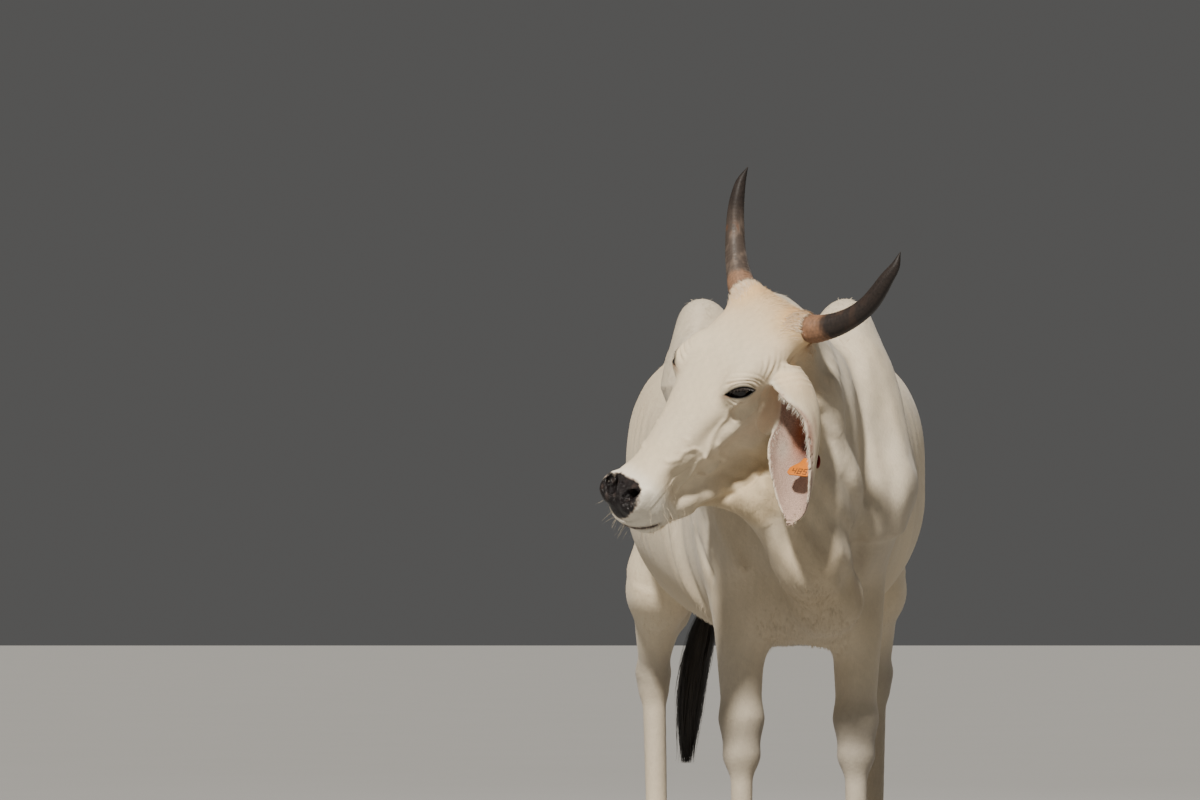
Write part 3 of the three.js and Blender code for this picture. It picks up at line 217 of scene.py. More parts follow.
def neck(x, y, z):
    p = (x, y, z); s = (1, 1, 1.75)
    d = cone(p, (0, 0.060, 1.030), 0.135, (0.030, -0.130, 1.040), 0.110, s)
    d = smin(d, cone(p, (0.030, -0.130, 1.040), 0.110, (0.025, -0.290, 1.090), 0.088, s), 0.05)
    d = smin(d, cone(p, (0, -0.200, 1.200), 0.055, from_head(0.03, 0, -0.085), 0.055), 0.06)
    d = smin(d, cone(p, from_head(0.24, 0, -0.17), 0.050, (0.045, -0.250, 0.920), 0.075), 0.07)
    d = smin(d, egg(p, (0.050, -0.190, 0.880), (0.085, 0.140, 0.180)), 0.07)
    for i in range(len(DEWLAP) - 1):
        d = smin(d, cone(p, DEWLAP[i][:3], DEWLAP[i][3], DEWLAP[i + 1][:3], DEWLAP[i + 1][3]), 0.045)
    return d


HA = [-0.06, -0.02, 0.03, 0.08, 0.13, 0.18, 0.24, 0.30, 0.36, 0.42, 0.46, 0.50, 0.535]
brow_w = curve(HA, [0.060, 0.085, 0.100, 0.113, 0.115, 0.106, 0.094, 0.078, 0.065, 0.058, 0.062, 0.061, 0.050])
jaw_w = curve(HA, [0.050, 0.056, 0.062, 0.068, 0.070, 0.068, 0.062, 0.055, 0.047, 0.040, 0.038, 0.036, 0.030])
brow_c = curve(HA, [-0.045, -0.012, 0.010, 0.020, 0.022, 0.020, 0.014, 0.004, -0.006, -0.012, -0.008, -0.013, -0.035])
jaw_c = curve(HA, [-0.10, -0.13, -0.155, -0.18, -0.20, -0.215, -0.222, -0.215, -0.190, -0.160, -0.145, -0.137, -0.120])
JAW = [(0.15, 0.055, -0.170, 0.030), (0.29, 0.043, -0.197, 0.029), (0.36, 0.036, -0.168, 0.026), (0.42, 0.030, -0.141, 0.022), (0.49, 0.018, -0.114, 0.020)]
NOSTRIL = (0.492, 0.030, -0.022)


def head(x, y, z):
    a, b, c = to_head(x, y, z)
    ct = brow_c(a); cb = jaw_c(a); wb = jaw_w(a)
    m = ct - 0.30 * (ct - cb); up = c > m; h = np.where(up, ct - m, m - cb)
    w = wb + (brow_w(a) - wb) * np.clip(((c - cb) / (ct - cb) - 0.15) * 1.6, 0, 1)
    e = np.where(up, 3.0, 2.4)
    d = (power(power(np.abs(b) / w, e) + power(np.abs(c - m) / h, e), 1 / e) - 1) * np.minimum(w, h)
    d = smax(d, np.abs(a - 0.268) - 0.269, 0.05)
    q = (a, np.abs(b), c)
    d = smin(d, egg(q, (0.180, 0.082, 0.004), (0.048, 0.026, 0.026)), 0.03)
    d = smin(d, cone(q, (0.20, 0.088, -0.060), 0.018, (0.32, 0.062, -0.065), 0.012), 0.03)
    d = smin(d, egg(q, (0.17, 0.072, -0.120), (0.090, 0.028, 0.085)), 0.03)
    for i in range(len(JAW) - 1):
        d = smin(d, cone(q, JAW[i][:3], JAW[i][3], JAW[i + 1][:3], JAW[i + 1][3]), 0.030)
    d = smin(d, cone(q, (0.022, 0.03, -0.042), 0.040, (0.013, 0.085, -0.022), 0.034), 0.04)
    d = smin(d, egg((a, b, c), (0.480, 0, -0.075), (0.047, 0.063, 0.055)), 0.03)
    return d


def nostril(q):
    n = cone(q, (0.5000, 0.0215, -0.013), 0.0100, (0.4815, 0.0375, -0.010), 0.0100)
    n = smin(n, cone(q, (0.4920, 0.0285, -0.010), 0.0120, (0.4720, 0.0280, -0.052), 0.0085), 0.006)
    return smin(n, cone(q, (0.4820, 0.0400, -0.011), 0.0070, (0.4930, 0.0540, -0.020), 0.0026), 0.008)


def mouth_c(a, bb):
    return -0.079 - 0.45 * np.maximum(bb - 0.015, 0) - 0.42 * np.maximum(0.51 - a, 0)


def face_cut(d, a, b, c):
    """lids round the eyeball, nostrils and the line of the mouth, cut into the distance d"""
    bb = np.abs(b)
    # lids: a shell round the ball with an almond opening
    al, ac, ao = eye_axes(a, bb, c)
    r = np.sqrt(al * al + ac * ac + ao * ao)
    d = smin(d, np.where(r < 0.06, r - (EYE_R + 0.0038), 1.0), 0.018)
    top, low = lid_edges(al)
    open_ = np.maximum(np.maximum(ac - top, low - ac), np.abs(al) - LID_W * 1.1)
    open_ = np.where((ao > 0.002) & (r < 0.045), open_ * 0.85, 1.0)
    d = smax(d, -open_, 0.0024)
    # nostrils: a raised wing outside, a comma-shaped trench and the passage behind it
    q = (a, bb, c)
    d = smin(d, egg(q, (0.488, 0.050, -0.024), (0.026, 0.010, 0.017)), 0.010)
    d = smin(d, egg(q, (0.505, 0.030, -0.030), (0.018, 0.022, 0.016)), 0.012)
    d = smax(d, -nostril(q), 0.005)
    # mouth: a slit of even depth round the muzzle
    cm = mouth_c(a, bb)
    slit = np.maximum(np.abs(c - cm) - 0.0009, 0.488 - a)
    inner = egg((a, b, c), (0.470, 0, -0.098), (0.058, 0.046, 0.055))
    d = smax(d, -np.maximum(slit, -inner), 0.004)
    return d


EARS = {"L": dict(base=(-0.002, -0.440, 1.150), tip=(-0.002, -0.465, 0.842), turn=47, side=-1), "R": dict(base=(-0.135, -0.285, 1.225), tip=(-0.222, -0.190, 0.945), turn=90, side=1)}
# radius of the trough, half its angle, and the angle of its middle
ES = [0, 0.05, 0.1, 0.2, 0.31, 0.46, 0.6, 0.75, 0.88, 0.95, 1.0]
ear_r = curve(ES, [0.024, 0.034, 0.043, 0.052, 0.0565, 0.0565, 0.0515, 0.0455, 0.038, 0.030, 0.014])
ear_t = curve(ES, [155, 150, 138, 112, 90, 94, 90, 78, 64, 55, 50])
ear_m = curve(ES, [45, 44, 42, 36, 20, 0, -9, -11, -10, -5, 0])
for E in EARS.values():
    base, tip = np.array(E["base"]), np.array(E["tip"]); D = unit(tip - base); t = np.radians(E["turn"])
    n = np.array([-np.sin(t), -np.cos(t), 0]); n = unit(n - D * (n @ D))
    E.update(D=D, n=n, W=np.cross(D, n) * E["side"], L=float(np.linalg.norm(tip - base)), base=base)


def ear_coords(E, x, y, z):
    dx, dy, dz = x - E["base"][0], y - E["base"][1], z - E["base"][2]
    s = (dx * E["D"][0] + dy * E["D"][1] + dz * E["D"][2]) / E["L"]
    u = dx * E["W"][0] + dy * E["W"][1] + dz * E["W"][2]
    v = -(dx * E["n"][0] + dy * E["n"][1] + dz * E["n"][2])
    sc = np.clip(s, 0, 1); R = ear_r(sc)
    v = v - (R * 0.25 - 0.012)
    return s, sc, u, v, R


def ear(E, x, y, z, grow=0.0):
    s, sc, u, v, R = ear_coords(E, x, y, z)
    th = np.radians(ear_t(sc)); md = np.radians(ear_m(sc))
    um, vm = u * np.cos(md) - v * np.sin(md), u * np.sin(md) + v * np.cos(md)
    ph = np.clip(np.arctan2(um, vm), -th, th)
    # soft folds of the rim and ripples at the root
    k = np.abs(ph) / th
    Rr = R * (1 - 0.05 * step(k, 0.75, 1.0)) + 0.0016 * np.sin(3.4 * ph + 1.0) * step(sc, 0.1, 0.35) + 0.0009 * np.sin(2 * np.pi * (sc * E["L"] / 0.0125 + 0.50 * np.sin(1.7 * ph))) * bump(sc, 0.070, 0.050) * (0.35 + 0.65 * step(-np.sin(ph - 0.6), -0.4, 0.4))
    du, dv = um - Rr * np.sin(ph), vm - Rr * np.cos(ph)
    t = 0.0030 + 0.0022 * step(0.22 - sc, 0, 0.2) - 0.0009 * step(k, 0.80, 1.0) - 0.0006 * step(sc, 0.85, 1)
    return np.sqrt(du * du + dv * dv + ((s - sc) * E["L"]) ** 2) - t - grow


def tail(x, y, z):
    d = 9.0
    for i in range(1, len(TAIL) - 1):
        a, b = TAIL[i], TAIL[i + 1]
        c = cone((x, y, z), a[:3], a[3], b[:3], b[3])
        d = c if i == 1 else smin(d, c, 0.02)
    return d


def along(x, y, z, pts, w):
    """1 on a line through space, falling off over w"""
    d2 = np.full(x.shape, 1.0)
    for p, q in zip(pts[:-1], pts[1:]):
        p = np.array(p); v = np.array(q) - p; L = v @ v
        t = np.clip(((x - p[0]) * v[0] + (y - p[1]) * v[1] + (z - p[2]) * v[2]) / L, 0, 1)
        d2 = np.minimum(d2, (x - p[0] - t * v[0]) ** 2 + (y - p[1] - t * v[1]) ** 2 + (z - p[2] - t * v[2]) ** 2)
    return np.exp(-d2 / (w * w))


# folds that belong to the shape: they push the surface in and out
def folds(x, y, z):
    d = np.zeros_like(x)
    # the crest of the neck's side, the slack flap over the point of the left shoulder, creases by the right arm
    d += 0.011 * along(x, y, z, [(0.085, -0.375, 1.160), (0.102, -0.340, 1.090), (0.131, -0.270, 0.952), (0.164, -0.121, 0.835)], 0.022)
    d -= 0.008 * along(x, y, z, [(0.070, -0.350, 1.060), (0.095, -0.300, 0.940), (0.125, -0.190, 0.820)], 0.020)
    edge = 0.812 + 0.22 * (y + 0.10)
    d += 0.013 * step(z, edge - 0.011, edge + 0.011) * step(edge + 0.20 - z, 0, 0.15) * step(x, 0.125, 0.165) * step(y, -0.19, -0.12) * step(0.22 - y, 0, 0.12)
    d -= 0.010 * along(x, y, z, [(-0.215, 0.020, 0.900), (-0.190, 0.050, 0.820), (-0.153, 0.005, 0.744)], 0.015)
    d += 0.009 * along(x, y, z, [(-0.142, -0.090, 0.900), (-0.125, -0.100, 0.830), (-0.096, -0.102, 0.760)], 0.016)
    d -= 0.007 * along(x, y, z, [(-0.185, -0.055, 0.880), (-0.165, -0.060, 0.800), (-0.140, -0.050, 0.735)], 0.014)
    # neck: long soft folds running down from behind the jaw to the brisket
    w = step(-y, -0.02, 0.10) * step(z, 0.70, 0.82) * step(1.24 - z, 0, 0.10) * step(x, -0.05, 0.02)
    t = x * 1.0 + 0.25 * y + 0.10 * (z - 1.0)
    d += w * 0.0026 * np.sin(2 * np.pi * (t / 0.070 + 0.55 * np.sin(3.1 * z)))
    # throat: creases that hang from the jaw
    w = step(-y, 0.16, 0.26) * step(1.02 - z, 0, 0.10) * step(z, 0.66, 0.74)
    t = x * 0.80 + (z - 0.8) * 0.58
    d += w * 0.0026 * np.sin(2 * np.pi * (t / 0.050 + 0.4 * np.sin(5.0 * z + 3 * x)))
    # elbow and flank creases
    for sx in (-1, 1):
        ax = sx * x
        w = bump(y, 0.235, 0.045) * step(z, 0.62, 0.72) * step(1.02 - z, 0, 0.15) * step(ax, 0.08, 0.15)
        d += w * 0.010 * np.cos(2 * np.pi * (y - 0.235 + 0.06 * (z - 0.8)) / 0.085)
        w = bump(y, 0.955 + 0.35 * (0.85 - z), 0.040) * step(z, 0.62, 0.70) * step(1.02 - z, 0, 0.15) * step(ax, 0.12, 0.2)
        d += w * 0.009
        # ribs, hardly showing
        w = step(y, 0.36, 0.46) * step(0.92 - y, 0, 0.12) * step(z, 0.74, 0.86) * step(1.14 - z, 0, 0.10) * step(ax, 0.12, 0.2)
        d += w * 0.0016 * np.sin(2 * np.pi * (y + 0.12 * (z - 1)) / 0.064)
        # hollow before the hip and groove of the thigh
        d -= 0.016 * bump(y, 0.93, 0.07) * bump(z, 1.12, 0.07) * step(ax, 0.12, 0.2)
        d -= 0.010 * bump(y, 1.345 - 0.10 * (z - 0.9), 0.022) * step(z, 0.70, 0.80) * step(1.12 - z, 0, 0.10) * step(ax, 0.05, 0.1)
    # hollow between hump and shoulder blades, and the spine
    d -= 0.004 * bump(x, 0.0, 0.012) * step(y, 0.35, 0.5) * step(1.30 - y, 0, 0.1) * step(z, 1.15, 1.2)
    return d


def head_relief(a, b, c):
    """the face's relief, outward positive"""
    s = b > 0; bb = np.abs(b)
    d = 0.0035 * bump(a, 0.150, 0.05) * bump(bb, 0.045, 0.028) * step(c, -0.02, 0)          # bone above the eye
    d = d - 0.0030 * bump(a, 0.070, 0.030) * bump(bb, 0.045, 0.022) * step(c, -0.02, 0)      # hollow below the horn
    d = d + 0.0035 * bump(bb, 0.0, 0.022) * step(a, 0.22, 0.30) * step(0.46 - a, 0, 0.06) * step(c, -0.04, -0.02)  # nose bone
    d = d - 0.0045 * bump(a, 0.285, 0.060) * bump(c, -0.035, 0.020) * step(bb, 0.03, 0.05)   # side of the nose
    d = d + 0.0040 * bump(a, 0.440, 0.030) * bump(c, -0.070, 0.035) * step(bb, 0.02, 0.04)   # upper lip
    d = d - 0.0040 * bump(a, 0.405, 0.018) * step(-c, 0.02, 0.05) * step(c, -0.15, -0.11)    # behind the lips
    return d


def flesh(x, y, z, fine=True):
    """signed size of the skin: negative inside"""
    n = x.shape[0]
    d = np.full(n, 0.6)
    m = y > -0.36
    d[m] = body(x[m], y[m], z[m])
    m2 = y > 1.25
    if m2.any():
        t = cone((x[m2], y[m2], z[m2]), TAIL[0][:3], TAIL[0][3], TAIL[1][:3], TAIL[1][3])
        d[m2] = smin(d[m2], t, 0.05)
    m = (z < 0.98) & (y > -0.25)
    d[m] = smin(d[m], legs(x[m], y[m], z[m]), 0.05)
    m = y < 0.28
    d[m] = smin(d[m], neck(x[m], y[m], z[m]), 0.07)
    d = d - (folds(x, y, z) if fine else 0)
    hx, hy, hz = x + 0.19, y + 0.42, z - 1.08
    m = hx * hx + hy * hy + hz * hz < 0.40 ** 2
    if m.any():
        xm, ym, zm = x[m], y[m], z[m]
        a, b, c = to_head(xm, ym, zm)
        hd = head(xm, ym, zm)
        if fine:
            hd = hd - head_relief(a, b, c)
        # the jaw parts from the throat with a sharper crease than the poll from the neck
        v = smin(d[m], hd, 0.035 - 0.024 * np.clip((a - 0.14) / 0.08, 0, 1) * np.clip((-0.09 - c) / 0.05, 0, 1))
        v = v + 0.0030
        v = face_cut(v, a, b, c)
        d[m] = v
    d[~m] += 0.0030
    for E in EARS.values():
        cx = E["base"] + E["D"] * E["L"] * 0.5
        m = (x - cx[0]) ** 2 + (y - cx[1]) ** 2 + (z - cx[2]) ** 2 < 0.26 ** 2
        if m.any():
            d[m] = smin(d[m], ear(E, x[m], y[m], z[m]), 0.012)
    m = y > 1.30
    if m.any():
        d[m] = smin(d[m], tail(x[m], y[m], z[m]) + 0.0015, 0.012)
    m = (np.abs(x) < 0.12) & (np.abs(y - 1.04) < 0.16) & (z < 0.75)
    if m.any():
        for tx, ty in TEATS:
            d[m] = smin(d[m], cone((x[m], y[m], z[m]), (tx, ty, 0.640), 0.0125, (tx, ty, 0.6015), 0.0085), 0.018)
    return d


POOL = ThreadPoolExecutor(4)


def field(P, fine=True, n=60000):
    if len(P) <= n:
        return flesh(P[:, 0], P[:, 1], P[:, 2], fine)
    return np.concatenate(list(POOL.map(lambda i: flesh(P[i:i + n, 0].copy(), P[i:i + n, 1].copy(), P[i:i + n, 2].copy(), fine), range(0, len(P), n))))


# ---------------------------------------------------------------- meshing: one closed net, finer round the head
C0 = np.array([-0.150, -0.385, 1.060])
_rho = np.linspace(0, 6, 2401)
_slope = 0.30 + (0.95 - 0.30) * step(_rho, 0.93, 1.80)
_R = np.concatenate([[0], np.cumsum((_slope[1:] + _slope[:-1]) / 2 * np.diff(_rho))])


def warp(U):
    r = np.linalg.norm(U, axis=1)
    return C0 + U * (np.interp(r, _rho, _R) / np.maximum(r, 1e-9))[:, None]


def unwarp(X):
    d = X - C0; R = np.linalg.norm(d, axis=1)
    return d * (np.interp(R, _R, _rho) / np.maximum(R, 1e-9))[:, None]


def surface_nets(F, lo, h):
    s = F < 0
    nx, ny, nz = F.shape
    tot = np.zeros((nx - 1, ny - 1, nz - 1), np.int8)
    for i in (0, 1):
        for j in (0, 1):
            for k in (0, 1):
                tot += s[i:nx - 1 + i, j:ny - 1 + j, k:nz - 1 + k]
    act = (tot > 0) & (tot < 8); del tot
    cells = np.argwhere(act)
    idx = np.full(act.shape, -1, np.int32); idx[act] = np.arange(len(cells), dtype=np.int32)
    I, J, K = cells.T
    acc = np.zeros((len(cells), 3)); cnt = np.zeros(len(cells))
    corners = [(i, j, k) for i in (0, 1) for j in (0, 1) for k in (0, 1)]
    for a in corners:
        for ax in range(3):
            if a[ax]:
                continue
            b = list(a); b[ax] = 1
            fa = F[I + a[0], J + a[1], K + a[2]].astype(float); fb = F[I + b[0], J + b[1], K + b[2]].astype(float)
            m = (fa < 0) != (fb < 0)
            t = np.where(m, fa / np.where(m, fa - fb, 1), 0)
            g = [np.full(len(I), float(a[0])), np.full(len(I), float(a[1])), np.full(len(I), float(a[2]))]
            g[ax] = g[ax] + t
            for q in range(3):
                acc[:, q] += np.where(m, g[q], 0)
            cnt += m
    V = lo + h * (cells + acc / cnt[:, None])
    quads = []
    m = s[:-1, :, :] != s[1:, :, :]
    i, j, k = (np.argwhere(m[:, 1:-1, 1:-1]) + [0, 1, 1]).T
    q = np.stack([idx[i, j - 1, k - 1], idx[i, j, k - 1], idx[i, j, k], idx[i, j - 1, k]], 1)
    quads.append(np.where(s[i, j, k][:, None], q, q[:, ::-1]))
    m = s[:, :-1, :] != s[:, 1:, :]
    i, j, k = (np.argwhere(m[1:-1, :, 1:-1]) + [1, 0, 1]).T
    q = np.stack([idx[i - 1, j, k - 1], idx[i - 1, j, k], idx[i, j, k], idx[i, j, k - 1]], 1)
    quads.append(np.where(s[i, j, k][:, None], q, q[:, ::-1]))
    m = s[:, :, :-1] != s[:, :, 1:]
    i, j, k = (np.argwhere(m[1:-1, 1:-1, :]) + [1, 1, 0]).T
    q = np.stack([idx[i - 1, j - 1, k], idx[i, j - 1, k], idx[i, j, k], idx[i - 1, j, k]], 1)
    quads.append(np.where(s[i, j, k][:, None], q, q[:, ::-1]))
    return V, np.concatenate(quads)


def skin_net(h, lo, hi, B=8):
    # bounds of the box in the warped grid
    g = np.stack(np.meshgrid(*[np.linspace(lo[i], hi[i], 13) for i in range(3)], indexing="ij"), -1).reshape(-1, 3)
    U = unwarp(g); ulo = U.min(0) - 0.03; uhi = U.max(0) + 0.03
    n = np.ceil((uhi - ulo) / h / B).astype(int) * B
    nb = n // B
    ctr = [ulo[i] + h * B * (np.arange(nb[i]) + 0.5) for i in range(3)]
    Cc = warp(np.stack(np.meshgrid(*ctr, indexing="ij"), -1).reshape(-1, 3))
    inside = np.all((Cc > np.array(lo) - 0.06) & (Cc < np.array(hi) + 0.06), axis=1)
    fc = np.full(len(Cc), 1.0)
    fc[inside] = field(Cc[inside], fine=False)
    ru = np.linalg.norm(unwarp(Cc), axis=1); ss = np.maximum(np.interp(ru, _rho, _slope), np.interp(ru, _rho, _R) / np.maximum(ru, 1e-3))
    near = np.abs(fc) < h * B * ss * 1.1 + 0.008
    F = np.ones((n[0] + 1, n[1] + 1, n[2] + 1), np.float32)
    sg = np.where(fc.reshape(nb) < 0, -1.0, 1.0).astype(np.float32)
    F[:-1, :-1, :-1] = np.repeat(np.repeat(np.repeat(sg, B, 0), B, 1), B, 2)
    bi = np.argwhere(near.reshape(nb)); o = np.arange(B + 1)
    off = np.stack(np.meshgrid(o, o, o, indexing="ij"), -1).reshape(-1, 3)
    for s0 in range(0, len(bi), 1500):
        g = (bi[s0:s0 + 1500, None, :] * B + off[None]).reshape(-1, 3)
        P = warp(ulo + h * g)
        F[g[:, 0], g[:, 1], g[:, 2]] = field(P)
    V, Q = surface_nets(F, ulo, h)
    return warp(V), Q


def slope_of(P, e=1.5e-4):
    """the field at P and its gradient"""
    v = field(P); g = np.empty_like(P)
    for i in range(3):
        A = P.copy(); A[:, i] += e
        g[:, i] = (field(A) - v) / e
    return v, g


def settle(P, lim, rounds=2):
    P0 = P.copy()
    for _ in range(rounds):
        v, g = slope_of(P)
        gg = np.maximum((g * g).sum(1), 0.08)
        P = P - g * (v / gg)[:, None]
        d = P - P0; l = np.linalg.norm(d, axis=1)
        P = P0 + d * np.minimum(1, lim / np.maximum(l, 1e-9))[:, None]
    return P


def triangles(V, Q):
    d1 = ((V[Q[:, 0]] - V[Q[:, 2]]) ** 2).sum(1); d2 = ((V[Q[:, 1]] - V[Q[:, 3]]) ** 2).sum(1)
    a = d1 <= d2
    A, B_ = Q[a], Q[~a]
    return np.concatenate([A[:, [0, 1, 2]], A[:, [0, 2, 3]], B_[:, [0, 1, 3]], B_[:, [1, 2, 3]]])


def refine(V, T, inside):
    """splits every edge whose two ends are inside, keeping the net closed"""
    E = np.sort(np.concatenate([T[:, [0, 1]], T[:, [1, 2]], T[:, [2, 0]]]), 1)
    key = E[:, 0].astype(np.int64) * len(V) + E[:, 1]
    uk, inv = np.unique(key, return_inverse=True)
    a, b = uk // len(V), uk % len(V)
    cut = inside[a] & inside[b]
    new = np.full(len(uk), -1); new[cut] = len(V) + np.arange(cut.sum())
    V2 = np.concatenate([V, 0.5 * (V[a[cut]] + V[b[cut]])])
    nT = len(T); e = [new[inv[:nT]], new[inv[nT:2 * nT]], new[inv[2 * nT:]]]
    m = np.stack([q >= 0 for q in e], 1); c = m.sum(1); out = [T[c == 0]]
    f = c == 3
    t0, t1, t2 = T[f].T; p, q, r = e[0][f], e[1][f], e[2][f]
    out += [np.stack(v, 1) for v in ((t0, p, r), (p, t1, q), (r, q, t2), (p, q, r))]
    for k in range(3):
        roll = [(k + j) % 3 for j in range(3)]
        f = (c == 1) & m[:, k]
        t0, t1, t2 = T[f][:, roll].T; p = e[k][f]
        out += [np.stack((t0, p, t2), 1), np.stack((p, t1, t2), 1)]
        f = (c == 2) & ~m[:, roll[2]]
        t0, t1, t2 = T[f][:, roll].T; p = e[roll[0]][f]; q = e[roll[1]][f]
        out += [np.stack((p, t1, q), 1), np.stack((t0, p, q), 1), np.stack((t0, q, t2), 1)]
    return V2, np.concatenate(out)


def face_normals(V, T):
    n = np.cross(V[T[:, 1]] - V[T[:, 0]], V[T[:, 2]] - V[T[:, 0]])
    return n


def vertex_normals(V, T):
    n = face_normals(V, T); N = np.zeros_like(V)
    for i in range(3):
        for k in range(3):
            N[:, k] += np.bincount(T[:, i], n[:, k], len(V))
    return N / np.maximum(np.linalg.norm(N, axis=1), 1e-12)[:, None]


def relax(V, T, amount=0.5):
    E = np.concatenate([T[:, [0, 1]], T[:, [1, 2]], T[:, [2, 0]]])
    S = np.zeros_like(V); c = np.bincount(E[:, 0], minlength=len(V)) + np.bincount(E[:, 1], minlength=len(V))
    for k in range(3):
        S[:, k] = np.bincount(E[:, 0], V[E[:, 1], k], len(V)) + np.bincount(E[:, 1], V[E[:, 0], k], len(V))
    return V + amount * (S / np.maximum(c, 1)[:, None] - V)


# ---------------------------------------------------------------- fine relief of the skin, added along its normals
def polyline(a, c, pts, w):
    d = np.full(a.shape, 9.0)
    for (a0, c0), (a1, c1) in zip(pts[:-1], pts[1:]):
        ux, uy = a1 - a0, c1 - c0; L = ux * ux + uy * uy
        t = np.clip(((a - a0) * ux + (c - c0) * uy) / L, 0, 1)
        d = np.minimum(d, np.hypot(a - a0 - t * ux, c - c0 - t * uy))
    return np.exp(-(d / w) ** 2)


def wave(P, f, seed):
    """smooth pseudo-random field made of a few sines"""
    r = np.random.default_rng(seed); v = 0
    for i in range(5):
        k = r.normal(size=3); k *= f * r.uniform(0.6, 1.5) / np.linalg.norm(k)
        v = v + np.sin(P @ k * 2 * np.pi + r.uniform(0, 6.28))
    return v / 5 * 1.4


VEINS = [([(0.222, -0.004), (0.251, -0.028), (0.265, -0.031), (0.296, -0.042), (0.332, -0.062)], 0.0050, 0.0030),
         ([(0.333, -0.017), (0.340, -0.030), (0.332, -0.044), (0.333, -0.066)], 0.0046, 0.0022),
         ([(0.334, -0.062), (0.346, -0.064), (0.362, -0.075), (0.385, -0.086), (0.415, -0.091)], 0.0054, 0.0026),
         ([(0.391, -0.021), (0.372, -0.030), (0.358, -0.026), (0.339, -0.034)], 0.0046, 0.0022),
         ([(0.365, -0.098), (0.352, -0.119), (0.318, -0.117)], 0.0046, 0.0036),
         ([(0.300, -0.060), (0.310, -0.090), (0.300, -0.125)], 0.0060, 0.0024)]


def fine_relief(P, N):
    x, y, z = P.T
    a, b, c = to_head(x, y, z); bb = np.abs(b)
    d = np.zeros(len(P))
    near = (a > -0.05) & (a < 0.56) & (bb < 0.16) & (c > -0.26) & (c < 0.06)
    for E in EARS.values():
        s, sc, u, v, R = ear_coords(E, x, y, z)
        near &= ~((s > 0.03) & (s < 1.1) & (np.hypot(u, v) < R + 0.012))
    A, B_, C_ = a[near], bb[near], c[near]; P_ = P[near]
    f = np.zeros(near.sum())
    # wrinkles above and round the eye
    al, ac, ao = eye_axes(A, B_, C_)
    rr = np.hypot(al * 0.72, ac + 0.002); ang = np.arctan2(ac, al * 0.72)
    side = step(B_, 0.060, 0.080)
    above = step(ang, 0.15, 0.7) * step(3.1 - ang, 0, 0.5)
    f += -0.0027 * side * above * (bump(rr, 0.0215, 0.0016) + 1.35 * bump(rr, 0.0275 + 0.002 * np.sin(3 * ang), 0.0019) + 0.9 * bump(rr, 0.0345 + 0.003 * np.sin(2 * ang + 1), 0.0020) + 0.5 * bump(rr, 0.0415, 0.0022))
    f += 0.0016 * side * above * (bump(rr, 0.0245, 0.0018) + bump(rr, 0.0305, 0.0018))
    below = step(-ang, 0.2, 0.8)
    f += -0.0012 * side * below * (bump(rr, 0.0190, 0.0016) + 0.7 * bump(rr, 0.0250, 0.0020))
    # tear trough from the inner corner of the eye
    f += -0.0024 * side * polyline(A, C_, [(EYE[0] + 0.018, EYE[2] - 0.004), (EYE[0] + 0.036, EYE[2] - 0.018), (EYE[0] + 0.046, EYE[2] - 0.036)], 0.0045)
    f += 0.0022 * side * polyline(A, C_, [(EYE[0] + 0.028, EYE[2] - 0.028), (EYE[0] + 0.040, EYE[2] - 0.044)], 0.006)
    for pts, w, h in VEINS:
        f += h * step(B_, 0.025, 0.040) * polyline(A, C_, pts, w)
    out = step(B_, 0.02, 0.035)
    f += -0.0034 * out * bump(A, 0.390, 0.022) * bump(C_, -0.052, 0.016)
    f += -0.0030 * out * bump(A, 0.350, 0.014) * bump(C_, -0.098, 0.013)
    f += 0.0036 * out * bump(A, 0.266, 0.017) * bump(C_, -0.055, 0.013)
    f += 0.0042 * out * bump(A, 0.333, 0.016) * bump(C_, -0.114, 0.012)
    f += 0.0030 * out * bump(A, 0.395, 0.018) * bump(C_, -0.112, 0.013)
    # the edge of the jaw over the throat
    f += -0.0090 * along(A, B_, C_, [(0.405, 0.047, -0.168), (0.382, 0.063, -0.175), (0.350, 0.076, -0.180), (0.311, 0.092, -0.185), (0.270, 0.095, -0.190)], 0.0085)
    f += -0.0035 * along(A, B_, C_, [(0.440, 0.052, -0.140), (0.400, 0.062, -0.150)], 0.0120)
    f += 0.0018 * along(A, B_, C_, [(0.395, 0.068, -0.156), (0.370, 0.082, -0.162), (0.335, 0.096, -0.165), (0.290, 0.104, -0.170)], 0.0100)
    # lips: short wrinkles and whisker bumps; the nose pad's small bosses
    lip = step(A, 0.42, 0.45) * step(-C_, 0.055, 0.085)
    f += 0.0007 * lip * wave(P_, 95.0, 5)
    pad = step(A, 0.488, 0.500) * step(C_, -0.085, -0.06)
    f += 0.00045 * pad * wave(P_, 240.0, 6)
    # slack skin under the jaw
    jaw = step(-C_, 0.13, 0.17) * step(0.40 - A, 0, 0.08)
    f += 0.0005 * jaw * np.sin(2 * np.pi * (A / 0.030 + 0.6 * B_ / 0.03))
    # wrinkles where the ear grows from the head
    f += 0.0012 * step(B_, 0.075, 0.090) * np.sin(2 * np.pi * ((A * 0.35 + C_ * 0.94) / 0.0105 + 0.25 * np.sin(A * 70))) * bump(A, 0.118, 0.020) * bump(C_, -0.012, 0.022)
    d[near] += f
    # the slack, slightly uneven skin of the neck, dewlap and legs
    slack = step(0.25 - y, 0, 0.25) * (1 - near) * step(z, 0.55, 0.70)
    d += 0.0009 * slack * wave(P * [1, 1, 0.35], 26.0, 7)
    d += 0.0006 * wave(P * [1, 0.6, 0.6], 14.0, 8) * step(z, 0.5, 0.7) * (1 - near)
    # rings of skin at the pasterns and above the hooves
    w = step(0.115 - z, 0, 0.02) * step(z, 0.060, 0.075)
    d += 0.0008 * w * np.sin(2 * np.pi * z / 0.011)
    return d


NET = 0.0115


